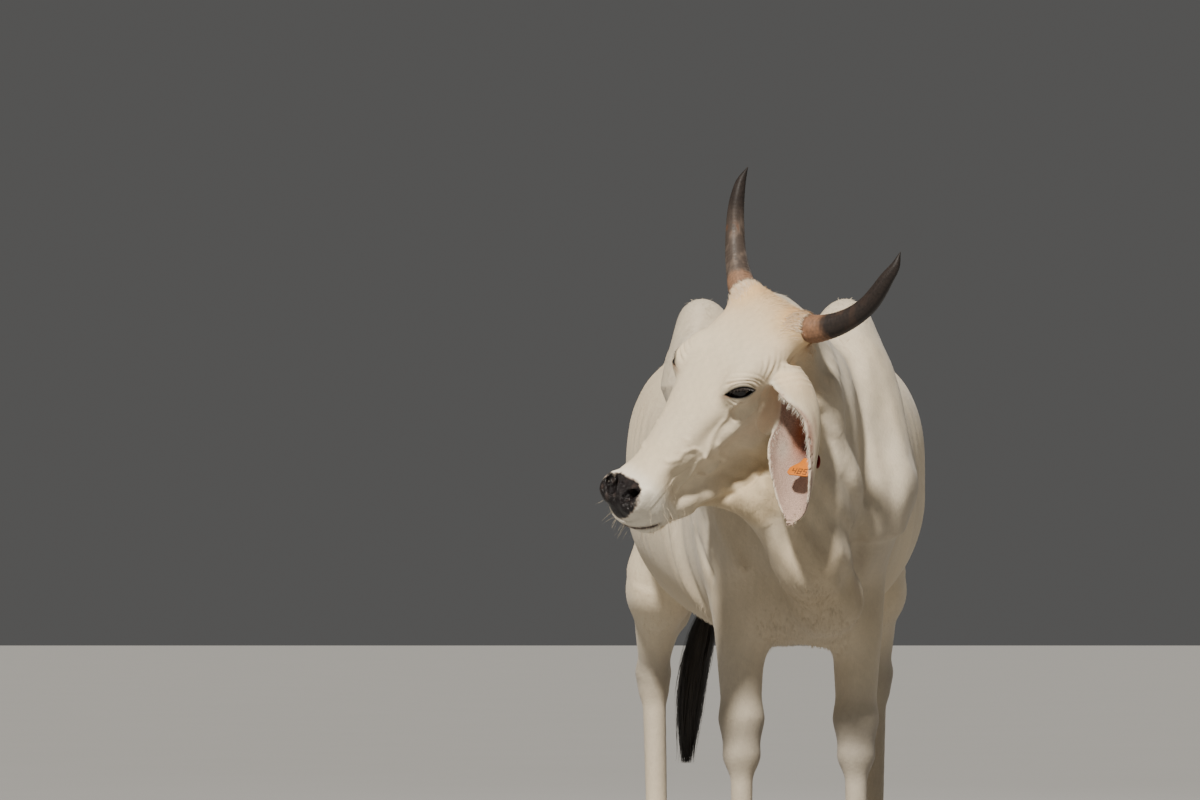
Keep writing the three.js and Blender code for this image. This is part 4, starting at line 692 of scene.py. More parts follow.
def build_skin():
    lo = (-0.40, -0.56, 0.035); hi = (0.36, 1.56, 1.42)
    V, Q = skin_net(NET, lo, hi)
    T = triangles(V, Q)
    used = np.zeros(len(V), bool)
    cell = NET * np.interp(np.linalg.norm(unwarp(V) , axis=1), _rho, _slope)
    V = settle(V, 0.8 * cell, 2)
    V = relax(V, T, 0.45); V = settle(V, 0.8 * cell, 1)

    def zones(V, r_eye, mouth, nose):
        a, b, c = to_head(*V.T); bb = np.abs(b)
        e = np.sqrt((a - EYE[0]) ** 2 + (bb - EYE[1]) ** 2 + (c - EYE[2]) ** 2) < r_eye
        cm = mouth_c(a, bb)
        m = (a > 0.440) & (a < 0.56) & (np.abs(c - cm) < mouth) & (bb < 0.09)
        n = np.sqrt((a - NOSTRIL[0]) ** 2 + (bb - NOSTRIL[1]) ** 2 + (c - NOSTRIL[2]) ** 2) < nose
        f = (a > 0.20) & (a < 0.43) & (c > -0.15) & (c < 0.0) & (bb > 0.035) & (bb < 0.12)
        f |= (a > 0.26) & (a < 0.44) & (c > -0.20) & (c < -0.13) & (bb > 0.025) & (bb < 0.115)
        f |= (a > 0.07) & (a < 0.16) & (c > -0.08) & (c < 0.01) & (bb > 0.07) & (bb < 0.15)
        return e | m | n | (f if mouth > 0 else False)
    for r_eye, mouth, nose in ((0.044, 0.008, 0.034), (0.030, 0.0, 0.022)):
        n0 = len(V)
        V, T = refine(V, T, zones(V, r_eye, mouth, nose))
        z = zones(V, r_eye + 0.006, mouth + 0.004, nose + 0.004)
        V[z] = settle(V[z], 0.0025, 3)
        W = relax(V, T, 0.4); V[z] = W[z]; V[z] = settle(V[z], 0.0025, 2)
    # add the fine relief along the normals
    N = vertex_normals(V, T)
    V = V + N * fine_relief(V, N)[:, None]
    return V, T


# ---------------------------------------------------------------- where things are on the skin
def fields(P, N):
    """named places on the skin, each 0 to 1, used by skin and coat alike"""
    x, y, z = P.T
    a, b, c = to_head(x, y, z); bb = np.abs(b)
    w = {"a": a, "b": b, "c": c}
    ears = np.zeros(len(P)); inside = np.zeros(len(P)); es = np.zeros(len(P)); ep = np.zeros(len(P)); left = np.zeros(len(P))
    for key, E in EARS.items():
        s, sc, u, v, R = ear_coords(E, x, y, z)
        th = np.radians(ear_t(sc)); md = np.radians(ear_m(sc)); rho = np.hypot(u, v)
        ph = np.arctan2(u * np.cos(md) - v * np.sin(md), u * np.sin(md) + v * np.cos(md))
        m = step(s, -0.02, 0.05) * (s < 1.06) * (rho < R + 0.010) * (rho > R * 0.35)
        q = m * step(R - rho, -0.0015, 0.0008) * step(s, 0.10, 0.18) * step(np.abs(ph) / th, 1.06, 0.98)
        better = m > ears
        ears = np.where(better, m, ears); inside = np.where(better, q, inside)
        es = np.where(better, s, es); ep = np.where(better, ph, ep); left = np.where(better, float(key == "L"), left)
    w.update(ear=ears, inear=inside, es=es, eph=ep, earleft=left)
    hd = step(a, -0.085, -0.045) * step(0.58 - a, 0, 0.03) * step(0.175 - bb, 0, 0.03) * step(c, -0.27, -0.235) * step(0.09 - c, 0, 0.03)
    # behind the jaw the neck takes over
    hd = hd * step(a - 0.13 + (c + 0.20) * 0.9, -0.05, 0.02)
    w["head"] = hd * (1 - ears)
    al, ac, ao = eye_axes(a, bb, c)
    w["al"], w["ac"], w["ao"] = al, ac, ao
    w["eyer"] = np.sqrt(al ** 2 + ac ** 2 + ao ** 2)
    top, low = lid_edges(al)
    w["edge"] = np.where(ao > 0, np.minimum(top - ac, ac - low), -0.05)
    rb = 0.058 - 0.85 * np.maximum(0, -c - 0.018)
    r = (np.maximum(0.512 - a, (a - 0.512) * 0.5) / 0.050) ** 3 + np.abs(bb / np.maximum(rb, 0.012)) ** 3 + np.abs((c + 0.010) / 0.046) ** 3
    pad = step(1.08 + 0.06 * wave(P, 55.0, 11) + 0.03 * wave(P, 140.0, 12) - np.cbrt(r), 0, 0.13)
    w["pad"] = pad * w["head"]
    w["nostril"] = step(0.0012 - nostril((a, bb, c)), 0, 0.0035) * w["head"]
    cm = mouth_c(a, bb)
    w["lip"] = bump(c, cm - 0.001, 0.0090) * step(a, 0.478, 0.500) * w["head"]
    w["mouthin"] = bump(c, cm, 0.0020) * step(a, 0.486, 0.496) * w["head"]
    w["legs"] = step(0.66 - z, 0, 0.10) * step(1.0, 0, 1)
    w["tail"] = step(y, 1.462, 1.482) * step(1.20 - z, 0, 0.05)
    w["neck"] = step(0.20 - y, 0, 0.25) * (1 - w["head"]) * (1 - ears) * step(z, 0.62, 0.70)
    return w


def srgb(r, g, b):
    v = np.array([r, g, b], float)
    return np.where(v <= 0.04045, v / 12.92, ((v + 0.055) / 1.055) ** 2.4)


CREAM, WHITE, PEACH = srgb(0.868, 0.800, 0.680), srgb(0.925, 0.895, 0.830), srgb(0.865, 0.715, 0.505)
# the last colour here is painted warm light reflected up from below, laid on undersides: belly, throat, jaw and chin
GREY, DARKGREY, BOUNCE_YELLOW = srgb(0.715, 0.680, 0.625), srgb(0.510, 0.480, 0.440), srgb(0.730, 0.625, 0.440)
SKINGREY, PINK, CHAR, BLACK = srgb(0.400, 0.365, 0.340), srgb(0.770, 0.650, 0.590), srgb(0.098, 0.080, 0.082), srgb(0.026, 0.022, 0.022)
# the maroon is painted shade, laid deep in the ear's trough
LIPBROWN, RUST, TROUGH_SHADE_MAROON, TAN = srgb(0.330, 0.225, 0.185), srgb(0.690, 0.370, 0.190), srgb(0.330, 0.125, 0.100), srgb(0.560, 0.420, 0.310)


def blend(c, other, w):
    w = np.clip(w, 0, 1)[:, None]
    return c * (1 - w) + other * w


def coat_colour(P, N, w):
    x, y, z = P.T
    a, b, c = w["a"], w["b"], w["c"]; bb = np.abs(b); H = w["head"]
    C = np.tile(CREAM, (len(P), 1))
    big = wave(P, 3.0, 21); mid = wave(P, 9.0, 22); small = wave(P, 45.0, 23)
    # greyer over neck, shoulders, hump and thighs, and down the legs
    g = 0.34 * step(0.45 - y, 0, 0.35) + 0.20 + 0.30 * step(y, 1.05, 1.30) * step(1.15 - z, 0, 0.25)
    g = g + 0.16 * big + 0.08 * mid
    C = blend(C, GREY, g * (1 - H) * (1 - w["ear"]))
    C = blend(C, DARKGREY, 0.34 * (1 - H) * (1 - w["ear"]) * step(0.62 - z, 0, 0.22) * step(z, 0.16, 0.30))
    knee = bump(z, 0.40, 0.055) * (y < 0.3) + bump(z, 0.52, 0.05) * (y > 0.9)
    C = blend(C, DARKGREY, 0.45 * knee * step(0.66 - z, 0, 0.1))
    C = blend(C, SKINGREY, 0.65 * step(0.145 - z, 0, 0.06))
    # painted warm light reflected from below on the lower barrel and belly
    C = blend(C, BOUNCE_YELLOW, 0.22 * step(0.80 - z, 0, 0.10) * step(z, 0.56, 0.66) * (y < 0.95) * (1 - H))
    # throat and brisket a little warm: painted warm light reflected from below
    C = blend(C, BOUNCE_YELLOW, 0.38 * step(-y, 0.02, 0.2) * step(0.98 - z, 0, 0.25) * step(z, 0.60, 0.7) * (0.6 + 0.4 * mid) * (1 - w["ear"]) * (1 - H))
    # tail darkens to the switch
    C = blend(C, SKINGREY, w["tail"] * step(0.95 - z, 0, 0.22))
    C = blend(C, BLACK, w["tail"] * step(0.76 - z, 0, 0.10))
    # face
    C = blend(C, GREY, H * (0.16 + 0.10 * mid + 0.16 * step(-c, 0.07, 0.17)))
    poll = bump(a, -0.005, 0.050) * step(c, -0.12, -0.06)
    C = blend(C, PEACH, H * (0.75 * poll * (0.55 + 0.45 * step(bb, 0.02, 0.06)) + 0.22 * step(0.15 - a, 0, 0.1)))
    C = blend(C, PEACH, 0.55 * H * np.exp(-(((a - 0.012) / 0.040) ** 2 + ((bb - 0.085) / 0.040) ** 2)))
    # painted warm light reflected from below on the jaw's underside
    C = blend(C, BOUNCE_YELLOW, H * 0.45 * step(-c, 0.120, 0.185) * step(0.47 - a, 0, 0.08))
    C = blend(C, WHITE, H * 0.75 * step(a, 0.425, 0.465) * (1 - 0.6 * step(-c, 0.10, 0.13)))
    # eyelids, inner corner, mottling above the outer corner
    al, ac, r = w["al"], w["ac"], w["eyer"]
    near = step(0.052 - r, 0, 0.02)
    lash = np.exp(-(np.minimum(w["edge"], 0) / (0.0036 + 0.0030 * step(ac, 0, 0.008))) ** 2) * step(LID_W * 1.22 - np.abs(al - 0.003), 0, 0.004) * near
    C = blend(C, BLACK, H * lash)
    C = blend(C, SKINGREY, H * 0.55 * near * bump(ac, 0.021, 0.006) * step(-al, -0.004, 0.008) * (0.45 + 0.55 * small))
    C = blend(C, TAN, H * 0.60 * near * np.exp(-(((al - 0.034) / 0.009) ** 2 + ((ac + 0.006) / 0.005) ** 2)))
    C = blend(C, TAN, H * 0.18 * polyline(a, c, [(EYE[0] + 0.018, EYE[2] - 0.004), (EYE[0] + 0.036, EYE[2] - 0.018), (EYE[0] + 0.046, EYE[2] - 0.036)], 0.004) * step(bb, 0.05, 0.07))
    # small dark specks
    for sa, sb, sc_ in ((0.300, 0.075, -0.035), (0.235, 0.050, 0.004), (0.350, 0.060, -0.110), (0.160, 0.080, -0.080), (0.090, 0.040, 0.004)):
        d2 = (a - sa) ** 2 + (b - sb) ** 2 + (c - sc_) ** 2
        C = blend(C, SKINGREY, H * 0.7 * np.exp(-d2 / 0.0022 ** 2))
    # muzzle: pad, mottled edge, lips, and the nostrils and mouth slit painted black as shade
    edgeband = w["pad"] * (1 - w["pad"]) * 4
    C = blend(C, PINK, H * 0.8 * edgeband * (0.6 + 0.4 * small))
    C = blend(C, CHAR, w["pad"] ** 0.8)
    C = blend(C, PINK, w["pad"] * 0.07 * step(small, 0.2, 0.9) * step(c, -0.05, -0.01))
    C = blend(C, LIPBROWN, H * 0.9 * w["lip"] * (1 - 0.5 * w["pad"]))
    # painted shade inside the nostril openings
    C = blend(C, BLACK, w["nostril"])
    # painted shade in the slit of the mouth
    C = blend(C, BLACK, w["mouthin"])
    # ears: pale outside, rosy grey and speckled within
    e, q = w["ear"], w["inear"]
    C = np.where(e[:, None] > 0, blend(C, CREAM, e), C)
    C = blend(C, PEACH, 0.25 * e * step(0.30 - w["es"], 0, 0.2))
    C = blend(C, PINK * 0.90, q * 0.94)
    C = blend(C, GREY, q * 0.70 * np.exp(-(((w["es"] - 0.49) / 0.075) ** 2 + ((w["eph"] + 0.95) / 0.35) ** 2)))
    C = blend(C, SKINGREY, q * 0.45 * step(wave(P, 130.0, 31), 0.30, 0.75) * step(0.62 - w["es"], 0, 0.2))
    s, ph = w["es"], w["eph"]
    C = blend(C, RUST, q * 0.42 * step(0.70 - s, 0, 0.30) * step(ph, -1.1, -0.2))
    C = blend(C, RUST, q * 0.90 * np.exp(-(((s - 0.37) / 0.15) ** 2 + ((ph + 0.50 - 1.1 * (s - 0.36)) / 0.42) ** 2)))
    # painted shade: dark maroon deep in the middle of the ear's trough
    C = blend(C, TROUGH_SHADE_MAROON, q * 0.97 * np.exp(-(((s - 0.45) / 0.15) ** 2 + ((ph - 0.06) / 0.36) ** 2)))
    C = blend(C, WHITE, 0.6 * e * (1 - q) * bump(np.abs(ph) / np.radians(ear_t(np.clip(s, 0, 1))), 1.0, 0.12))
    # udder and teats rosy
    ud = np.exp(-((x / 0.12) ** 2 + ((y - 1.04) / 0.13) ** 2)) * step(0.72 - z, 0, 0.08)
    C = blend(C, PINK, 0.55 * ud)
    return C * (1 + 0.035 * small + 0.025 * mid)[:, None]


def flow(P, N, w):
    """the way the coat lies"""
    x, y, z = P.T; a, b, c = w["a"], w["b"], w["c"]
    f = np.stack([0 * x, 0.75 + 0 * x, -0.45 - 0.35 * step(0.62 - z, 0, 0.3) * 0], 1)
    f = f + step(0.62 - z, 0, 0.15)[:, None] * np.array([0, -0.70, -1.6])
    nk = w["neck"][:, None]
    f = f * (1 - nk) + nk * np.array([0.10, 0.35, -0.95])
    tl = w["tail"][:, None]
    f = f * (1 - tl) + tl * np.array([0, 0, -1.0])
    # head: a whorl on the brow, down the nose, back over the cheeks, out to the horns
    t = step(a, 0.12, 0.24)
    va = (a - 0.135) / 0.08 * (1 - t) + t
    vb = b / 0.08 * (1 - 0.6 * t)
    cheek = step(-c, 0.045, 0.10)
    vc = -1.3 * cheek
    va = va * (1 - 0.55 * cheek); vb = vb * (1 - cheek)
    horn = np.exp(-(((a - 0.012) / 0.035) ** 2)) * step(np.abs(b), 0.045, 0.075)
    va, vb, vc = va * (1 - horn), vb * (1 - horn) + 1.5 * horn * np.sign(b), vc * (1 - horn)
    fh = va[:, None] * FH + vb[:, None] * LH + vc[:, None] * UH
    fh /= np.maximum(np.linalg.norm(fh, axis=1), 1e-6)[:, None]
    hw = w["head"][:, None]
    f = f * (1 - hw) + fh * hw
    ew = w["ear"][:, None]
    d = np.where(w["earleft"][:, None] > 0.5, EARS["L"]["D"], EARS["R"]["D"])
    f = f * (1 - ew) + d * ew
    f = f - N * (f * N).sum(1)[:, None]
    return f / np.maximum(np.linalg.norm(f, axis=1), 1e-6)[:, None]
# === geometry end

# ================================================================ blender side
SHIFT = -ORIGIN


def make(name, V, faces, mat, colour=None, masks=None, smooth=True, normals=None, uv=None):
    """a mesh object from arrays; faces is a list of (n, k) arrays; V is in the raw frame"""
    me = bpy.data.meshes.new(name)
    V = np.ascontiguousarray(V + SHIFT, np.float32)
    me.vertices.add(len(V)); me.vertices.foreach_set("co", V.ravel())
    loops = np.concatenate([f.ravel() for f in faces]).astype(np.int32)
    counts = np.concatenate([np.full(len(f), f.shape[1]) for f in faces])
    starts = np.concatenate([[0], np.cumsum(counts)[:-1]]).astype(np.int32)
    me.loops.add(len(loops)); me.loops.foreach_set("vertex_index", loops)
    me.polygons.add(len(starts)); me.polygons.foreach_set("loop_start", starts)
    me.update(calc_edges=True)
    me.polygons.foreach_set("use_smooth", np.full(len(starts), smooth, bool))
    if colour is not None:
        at = me.color_attributes.new("coat", "FLOAT_COLOR", "POINT")
        at.data.foreach_set("color", np.concatenate([np.clip(colour, 0, 1), np.ones((len(V), 1))], 1).astype(np.float32).ravel())
    if masks is not None:
        at = me.color_attributes.new("place", "FLOAT_COLOR", "POINT")
        at.data.foreach_set("color", np.ascontiguousarray(masks, np.float32).ravel())
    if uv is not None:
        lay = me.uv_layers.new(name="OFBake")
        lay.uv.foreach_set("vector", np.ascontiguousarray(uv[loops], np.float32).ravel())
    if normals is not None:
        me.normals_split_custom_set_from_vertices(normals.tolist())
    me.materials.append(mat)
    ob = bpy.data.objects.new(name, me)
    bpy.context.scene.collection.objects.link(ob)
    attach(ob, "root")
    return ob


class Nodes:
    """a short way to write a material's nodes"""
    def __init__(self, name):
        self.mat = bpy.data.materials.new(name); self.mat.use_nodes = True
        self.t = self.mat.node_tree; self.t.nodes.clear()
        self.out = self.t.nodes.new("ShaderNodeOutputMaterial")
        self.bsdf = self.t.nodes.new("ShaderNodeBsdfPrincipled")
        self.link(self.bsdf.outputs[0], self.out.inputs[0])

    def link(self, a, b):
        self.t.links.new(a, b)

    def node(self, kind, **kw):
        n = self.t.nodes.new("ShaderNode" + kind)
        for k, v in kw.items():
            if k in n.inputs.keys() if isinstance(k, str) else False:
                if hasattr(v, "is_output") or hasattr(v, "node"):
                    self.link(v, n.inputs[k])
                else:
                    n.inputs[k].default_value = v
            else:
                setattr(n, k, v)
        return n

    def set(self, **kw):
        names = {"rough": "Roughness", "metal": "Metallic", "spec": "Specular IOR Level", "coat": "Coat Weight", "coat_rough": "Coat Roughness", "sheen": "Sheen Weight", "sheen_rough": "Sheen Roughness", "colour": "Base Color", "normal": "Normal", "sss": "Subsurface Weight", "ior": "IOR"}
        for k, v in kw.items():
            i = self.bsdf.inputs[names[k]]
            if hasattr(v, "node"):
                self.link(v, i)
            else:
                i.default_value = v

    def attr(self, name):
        return self.node("Attribute", attribute_name=name)

    def coord(self):
        return self.node("TexCoord").outputs["Object"]

    def mapped(self, vec, scale, rot=(0, 0, 0)):
        m = self.node("Mapping"); self.link(vec, m.inputs["Vector"])
        m.inputs["Scale"].default_value = scale; m.inputs["Rotation"].default_value = rot
        return m.outputs[0]

    def noise(self, vec, scale, detail=3.0, rough=0.55, dist=0.0):
        n = self.t.nodes.new("ShaderNodeTexNoise"); self.link(vec, n.inputs["Vector"])
        n.inputs["Scale"].default_value = scale; n.inputs["Detail"].default_value = detail
        n.inputs["Roughness"].default_value = rough; n.inputs["Distortion"].default_value = dist
        return n.outputs[0]

    def voronoi(self, vec, scale, feature="F1"):
        n = self.t.nodes.new("ShaderNodeTexVoronoi"); n.feature = feature; self.link(vec, n.inputs["Vector"])
        n.inputs["Scale"].default_value = scale
        return n.outputs["Distance"]

    def math(self, op, a, b=0.0, clamp=False):
        n = self.t.nodes.new("ShaderNodeMath"); n.operation = op; n.use_clamp = clamp
        for i, v in enumerate((a, b)):
            if hasattr(v, "node"):
                self.link(v, n.inputs[i])
            else:
                n.inputs[i].default_value = v
        return n.outputs[0]

    def ramp(self, v, lo, hi, a=0.0, b=1.0):
        n = self.t.nodes.new("ShaderNodeMapRange"); self.link(v, n.inputs[0])
        for i, q in enumerate((lo, hi, a, b)):
            n.inputs[1 + i].default_value = q
        return n.outputs[0]

    def mix(self, f, a, b, kind="MIX"):
        n = self.t.nodes.new("ShaderNodeMix"); n.data_type = "RGBA"; n.blend_type = kind
        for i, v in ((0, f), (6, a), (7, b)):
            if hasattr(v, "node"):
                self.link(v, n.inputs[i])
            elif i == 0:
                n.inputs[i].default_value = v
            else:
                n.inputs[i].default_value = (*v, 1) if len(v) == 3 else v
        return n.outputs[2]

    def bump(self, height, dist, strength=1.0, normal=None):
        n = self.t.nodes.new("ShaderNodeBump"); n.inputs["Strength"].default_value = strength
        n.inputs["Distance"].default_value = dist
        self.link(height, n.inputs["Height"])
        if normal is not None:
            self.link(normal, n.inputs["Normal"])
        return n.outputs[0]

    def split(self, colour):
        n = self.t.nodes.new("ShaderNodeSeparateColor"); self.link(colour, n.inputs[0])
        return n.outputs


def skin_material():
    m = Nodes("coat_skin"); co = m.coord()
    base = m.attr("coat").outputs["Color"]; pl = m.attr("place"); p = m.split(pl.outputs["Color"])
    head, down, bare = p[0], p[1], p[2]; wet = pl.outputs["Alpha"]
    # short hair: fine streaks along the lie of the coat, three runs blended by place
    s1 = m.noise(m.mapped(co, (1.0, 0.16, 0.55)), 620.0, 3.0, 0.6)
    s2 = m.noise(m.mapped(co, (1.0, 1.0, 0.14)), 620.0, 3.0, 0.6)
    s3 = m.noise(m.mapped(co, (0.16, 1.0, 1.0), (0, 0, 0)), 720.0, 3.0, 0.6)
    a = m.math("ADD", m.math("MULTIPLY", s1, m.math("SUBTRACT", 1.0, down)), m.math("MULTIPLY", s2, down))
    a = m.math("ADD", m.math("MULTIPLY", a, m.math("SUBTRACT", 1.0, head)), m.math("MULTIPLY", s3, head))
    clump = m.noise(co, 150.0, 4.0, 0.6)
    tone = m.math("ADD", m.math("MULTIPLY", a, 0.22), m.math("MULTIPLY", clump, 0.16))
    tone = m.math("ADD", tone, 0.81)
    comb = m.node("CombineColor"); [m.link(tone, comb.inputs[i]) for i in range(3)]
    col = m.mix(1.0, base, comb.outputs[0], "MULTIPLY")
    pores = m.voronoi(co, 430.0)
    leather = m.voronoi(co, 330.0, "DISTANCE_TO_EDGE")
    bcol = m.mix(m.ramp(leather, 0.0, 0.16, 0.55, 0.0), base, (0.02, 0.017, 0.017))
    col = m.mix(bare, col, bcol)
    m.set(colour=col, spec=0.30, sheen=m.math("MULTIPLY", m.math("SUBTRACT", 1.0, bare), 0.10), sheen_rough=0.5)
    r = m.math("ADD", m.math("MULTIPLY", clump, 0.14), 0.66)
    r = m.math("SUBTRACT", r, m.math("MULTIPLY", wet, 0.42))
    m.set(rough=m.math("SUBTRACT", r, m.math("MULTIPLY", bare, 0.06)))
    hair = m.bump(a, 0.0011, 0.55)
    hair = m.bump(clump, 0.0022, 0.35, hair)
    lea = m.bump(m.ramp(leather, 0.0, 0.25), 0.0009, 0.8)
    lea = m.bump(pores, 0.0005, 0.5, lea)
    mx = m.t.nodes.new("ShaderNodeMix"); mx.data_type = "VECTOR"
    m.link(bare, mx.inputs[0]); m.link(hair, mx.inputs[4]); m.link(lea, mx.inputs[5])
    m.set(normal=mx.outputs[1])
    return m.mat


def tuft_material(name, rough=0.62, sheen=0.25):
    m = Nodes(name); co = m.coord()
    base = m.attr("coat").outputs["Color"]
    n = m.noise(co, 900.0, 2.0, 0.6)
    col = m.mix(m.ramp(n, 0.3, 0.75, 0.0, 0.16), base, (0.30, 0.26, 0.22))
    m.set(colour=col, rough=rough, sheen=sheen, sheen_rough=0.4, spec=0.35)
    m.set(normal=m.bump(n, 0.0004, 0.35))
    return m.mat


def blades(root, N, F, length, width, lift, colour, rng, curl=0.0, segs=2, tipcol=None):
    """tapering blades lying along F; returns vertices, faces, colours, normals, roots' index"""
    n = len(root); W = np.cross(N, F)
    j = rng.normal(size=n)[:, None] * 0.16
    F = F + W * j; F /= np.linalg.norm(F, axis=1)[:, None]; W = np.cross(N, F)
    roll = rng.normal(size=n)[:, None] * 0.09
    W = W * np.cos(roll) + N * np.sin(roll)
    ts = np.linspace(0, 1, segs + 1)
    verts, cols = [], []
    side = rng.normal(size=n)[:, None] * curl
    L = length[:, None]
    tipcol = colour if tipcol is None else tipcol
    for i, t in enumerate(ts):
        p = root + F * L * t + N * (lift[:, None] * L * (t - 0.35 * t * t) - 0.0006 * (t < 0.01)) + np.cross(N, F) * side * L * t * t
        wd = width[:, None] * 0.5 * (1.0 if i == 0 else (1 - t) ** 0.7 if i < segs else 0)
        cc = colour * (1 - t) + tipcol * t
        if i < segs:
            verts += [p - W * wd, p + W * wd]; cols += [cc, cc]
        else:
            verts += [p]; cols += [cc]
    k = len(verts)
    V = np.stack(verts, 1).reshape(-1, 3); C = np.stack(cols, 1).reshape(-1, 3)
    base = (np.arange(n) * k)[:, None]
    quads = [base + np.array([[2 * i, 2 * i + 1, 2 * i + 3, 2 * i + 2]]) for i in range(segs - 1)]
    tri = base + np.array([[2 * segs - 2, 2 * segs - 1, 2 * segs]])
    NN = N + rng.normal(size=(n, 3)) * 0.10 + F * 0.10
    NN /= np.linalg.norm(NN, axis=1)[:, None]
    return V, (quads, tri), C, np.repeat(NN, k, axis=0), k


class Atlas:
    """the skin laid out in flat charts, one for each region and side of it, packed in rows"""
    def __init__(self, P, N, region):
        self.charts = {}; ax = self.axes(N); items = []
        for r in np.unique(region):
            for k in range(6):
                m = (region == r) & (ax == k)
                if m.sum() < 3:
                    continue
                uv = self.project(P[m], k); lo, hi = uv.min(0), uv.max(0)
                items.append((int(r), k, lo, hi - lo + 0.004))
        items.sort(key=lambda i: -i[3][1]); s = 1.0
        while True:
            x = y = row = 0.0; place = {}
            for r, k, lo, sz in items:
                w, h = sz * s + 0.006
                if x + w > 1:
                    x, y, row = 0.0, y + row, 0.0
                place[(r, k)] = (lo, np.array([x, y]) + 0.003); x += w; row = max(row, h)
            if y + row <= 1 and all(i[3][0] * s < 0.99 for i in items):
                break
            s *= 0.96
        self.place, self.s = place, s

    @staticmethod
    def axes(N):
        i = np.abs(N).argmax(1)
        return i * 2 + (N[np.arange(len(N)), i] > 0)

    @staticmethod
    def project(P, k):
        a = [(1, 2), (0, 2), (0, 1)][k // 2]
        return P[:, a]

    def at(self, P, N, region):
        ax = self.axes(N); out = np.full((len(P), 2), 0.5)
        for (r, k), (lo, off) in self.place.items():
            m = (region == r) & (ax == k)
            out[m] = (self.project(P[m], k) - lo) * self.s + off
        return np.clip(out, 0.003, 0.997)


def regions(P, w):
    x, y, z = P.T
    r = np.where(y < 0.12, 3, 4)
    low = z < 0.62
    r = np.where(low, 5 + 2 * (y > 0.6) + (x > 0.02), r)
    r = np.where(w["tail"] > 0.5, 9, r)
    r = np.where(w["head"] > 0.5, 0, r)
    r = np.where(w["ear"] > 0.5, np.where(w["earleft"] > 0.5, 1, 2), r)
    return r


def tuft_piece(name, V, faces, C, NN, k, uvroot, mat):
    n = len(uvroot)
    pat = np.stack([np.where(np.arange(k) % 2 == 0, -1, 1) * 0.0014 * np.where(np.arange(k) == k - 1, 0, 1), (np.arange(k) // 2) / max(1, (k - 1) // 2) * 0.0028 - 0.0014], 1)
    uv = np.clip((uvroot[:, None, :] + pat[None]).reshape(-1, 2), 0, 1)
    return make(name, V, [*faces[0], faces[1]], mat, colour=C, uv=uv)


# ---------------------------------------------------------------- camera, light and floor
cam = bpy.data.objects.new("camera", bpy.data.cameras.new("camera"))
bpy.context.scene.collection.objects.link(cam)
cam.location = (-0.356596, -14.161639, 0.730)
cam.rotation_euler = (math.radians(90 + 1.551), 0, 0)
cam.data.lens = 199.5; cam.data.sensor_width = 36.0; cam.data.clip_end = 400
bpy.context.scene.camera = cam


def area(name, loc, at, size, power, colour=(1, 1, 1)):
    l = bpy.data.lights.new(name, "AREA"); l.shape = "RECTANGLE"; l.size, l.size_y = size; l.energy = power; l.color = colour
    o = bpy.data.objects.new(name, l); bpy.context.scene.collection.objects.link(o); o.location = loc
    import mathutils
    d = mathutils.Vector(at) - mathutils.Vector(loc)
    o.rotation_euler = d.to_track_quat("-Z", "Y").to_euler()
    return o


key = bpy.data.lights.new("key", "SUN"); key.energy = 6.2; key.angle = math.radians(5.0); key.color = (1.0, 0.950, 0.870)
keyo = bpy.data.objects.new("key", key); bpy.context.scene.collection.objects.link(keyo)
keyo.rotation_euler = (math.radians(43.0), math.radians(-18.0), 0.0)
area("fill", (3.5, -7.0, 2.2), (0.0, 0.0, 0.8), (4.0, 3.0), 8, (1.0, 0.96, 0.88))
area("back", (3.0, 6.0, 4.5), (0.0, 0.5, 1.0), (4.0, 3.0), 110, (1.0, 0.98, 0.95))
world = bpy.data.worlds.new("studio"); bpy.context.scene.world = world; world.use_nodes = True
world.node_tree.nodes["Background"].inputs[0].default_value = (0.95, 0.94, 0.92, 1)
world.node_tree.nodes["Background"].inputs[1].default_value = 0.10

fl = bpy.data.meshes.new("floor"); fl.from_pydata([(-60, -60, 0), (60, -60, 0), (60, 60, 0), (-60, 60, 0)], [], [(0, 1, 2, 3)])
flo = bpy.data.objects.new("floor", fl); bpy.context.scene.collection.objects.link(flo)
fm = Nodes("floor"); fn = fm.noise(fm.coord(), 1.4, 3)
fm.set(colour=fm.mix(fm.ramp(fn, 0.3, 0.7, 0.0, 0.25), (0.30, 0.297, 0.290), (0.275, 0.272, 0.266)), rough=0.9)
fl.materials.append(fm.mat)

# ---------------------------------------------------------------- the skin
V, T = build_skin()
N = vertex_normals(V, T)
w = fields(V, N)
C = coat_colour(V, N, w)
al, ac = w["al"], w["ac"]
lidrim = np.exp(-(np.minimum(w["edge"], 0) / 0.0020) ** 2) * (np.abs(al) < 0.029) * (w["eyer"] < 0.045) * w["head"]
bare = np.clip(w["pad"] + w["nostril"] + 0.8 * w["lip"] + lidrim + 0.75 * w["inear"], 0, 1)
wet = np.clip(0.9 * w["pad"] + 0.9 * w["nostril"] + 0.8 * lidrim + 0.3 * w["lip"], 0, 1)
down = np.clip(step(0.66 - V[:, 2], 0, 0.12) + w["neck"] + w["tail"] + w["ear"], 0, 1)
SKIN = skin_material()
skin = make("skin", V, [T], SKIN, colour=C, masks=np.stack([w["head"], down, bare, wet], 1))
FLESH = ["head", "muzzle", "neck", "dewlap", "chest", "hump", "barrel", "rump", "udder", "tail_upper", "tail_lower", "ear_L", "ear_R"]
FLESH += [f"leg_{e}_{s_}_{h}" for e in ("fore", "hind") for s_ in "LR" for h in ("upper", "lower")]
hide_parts(*FLESH)

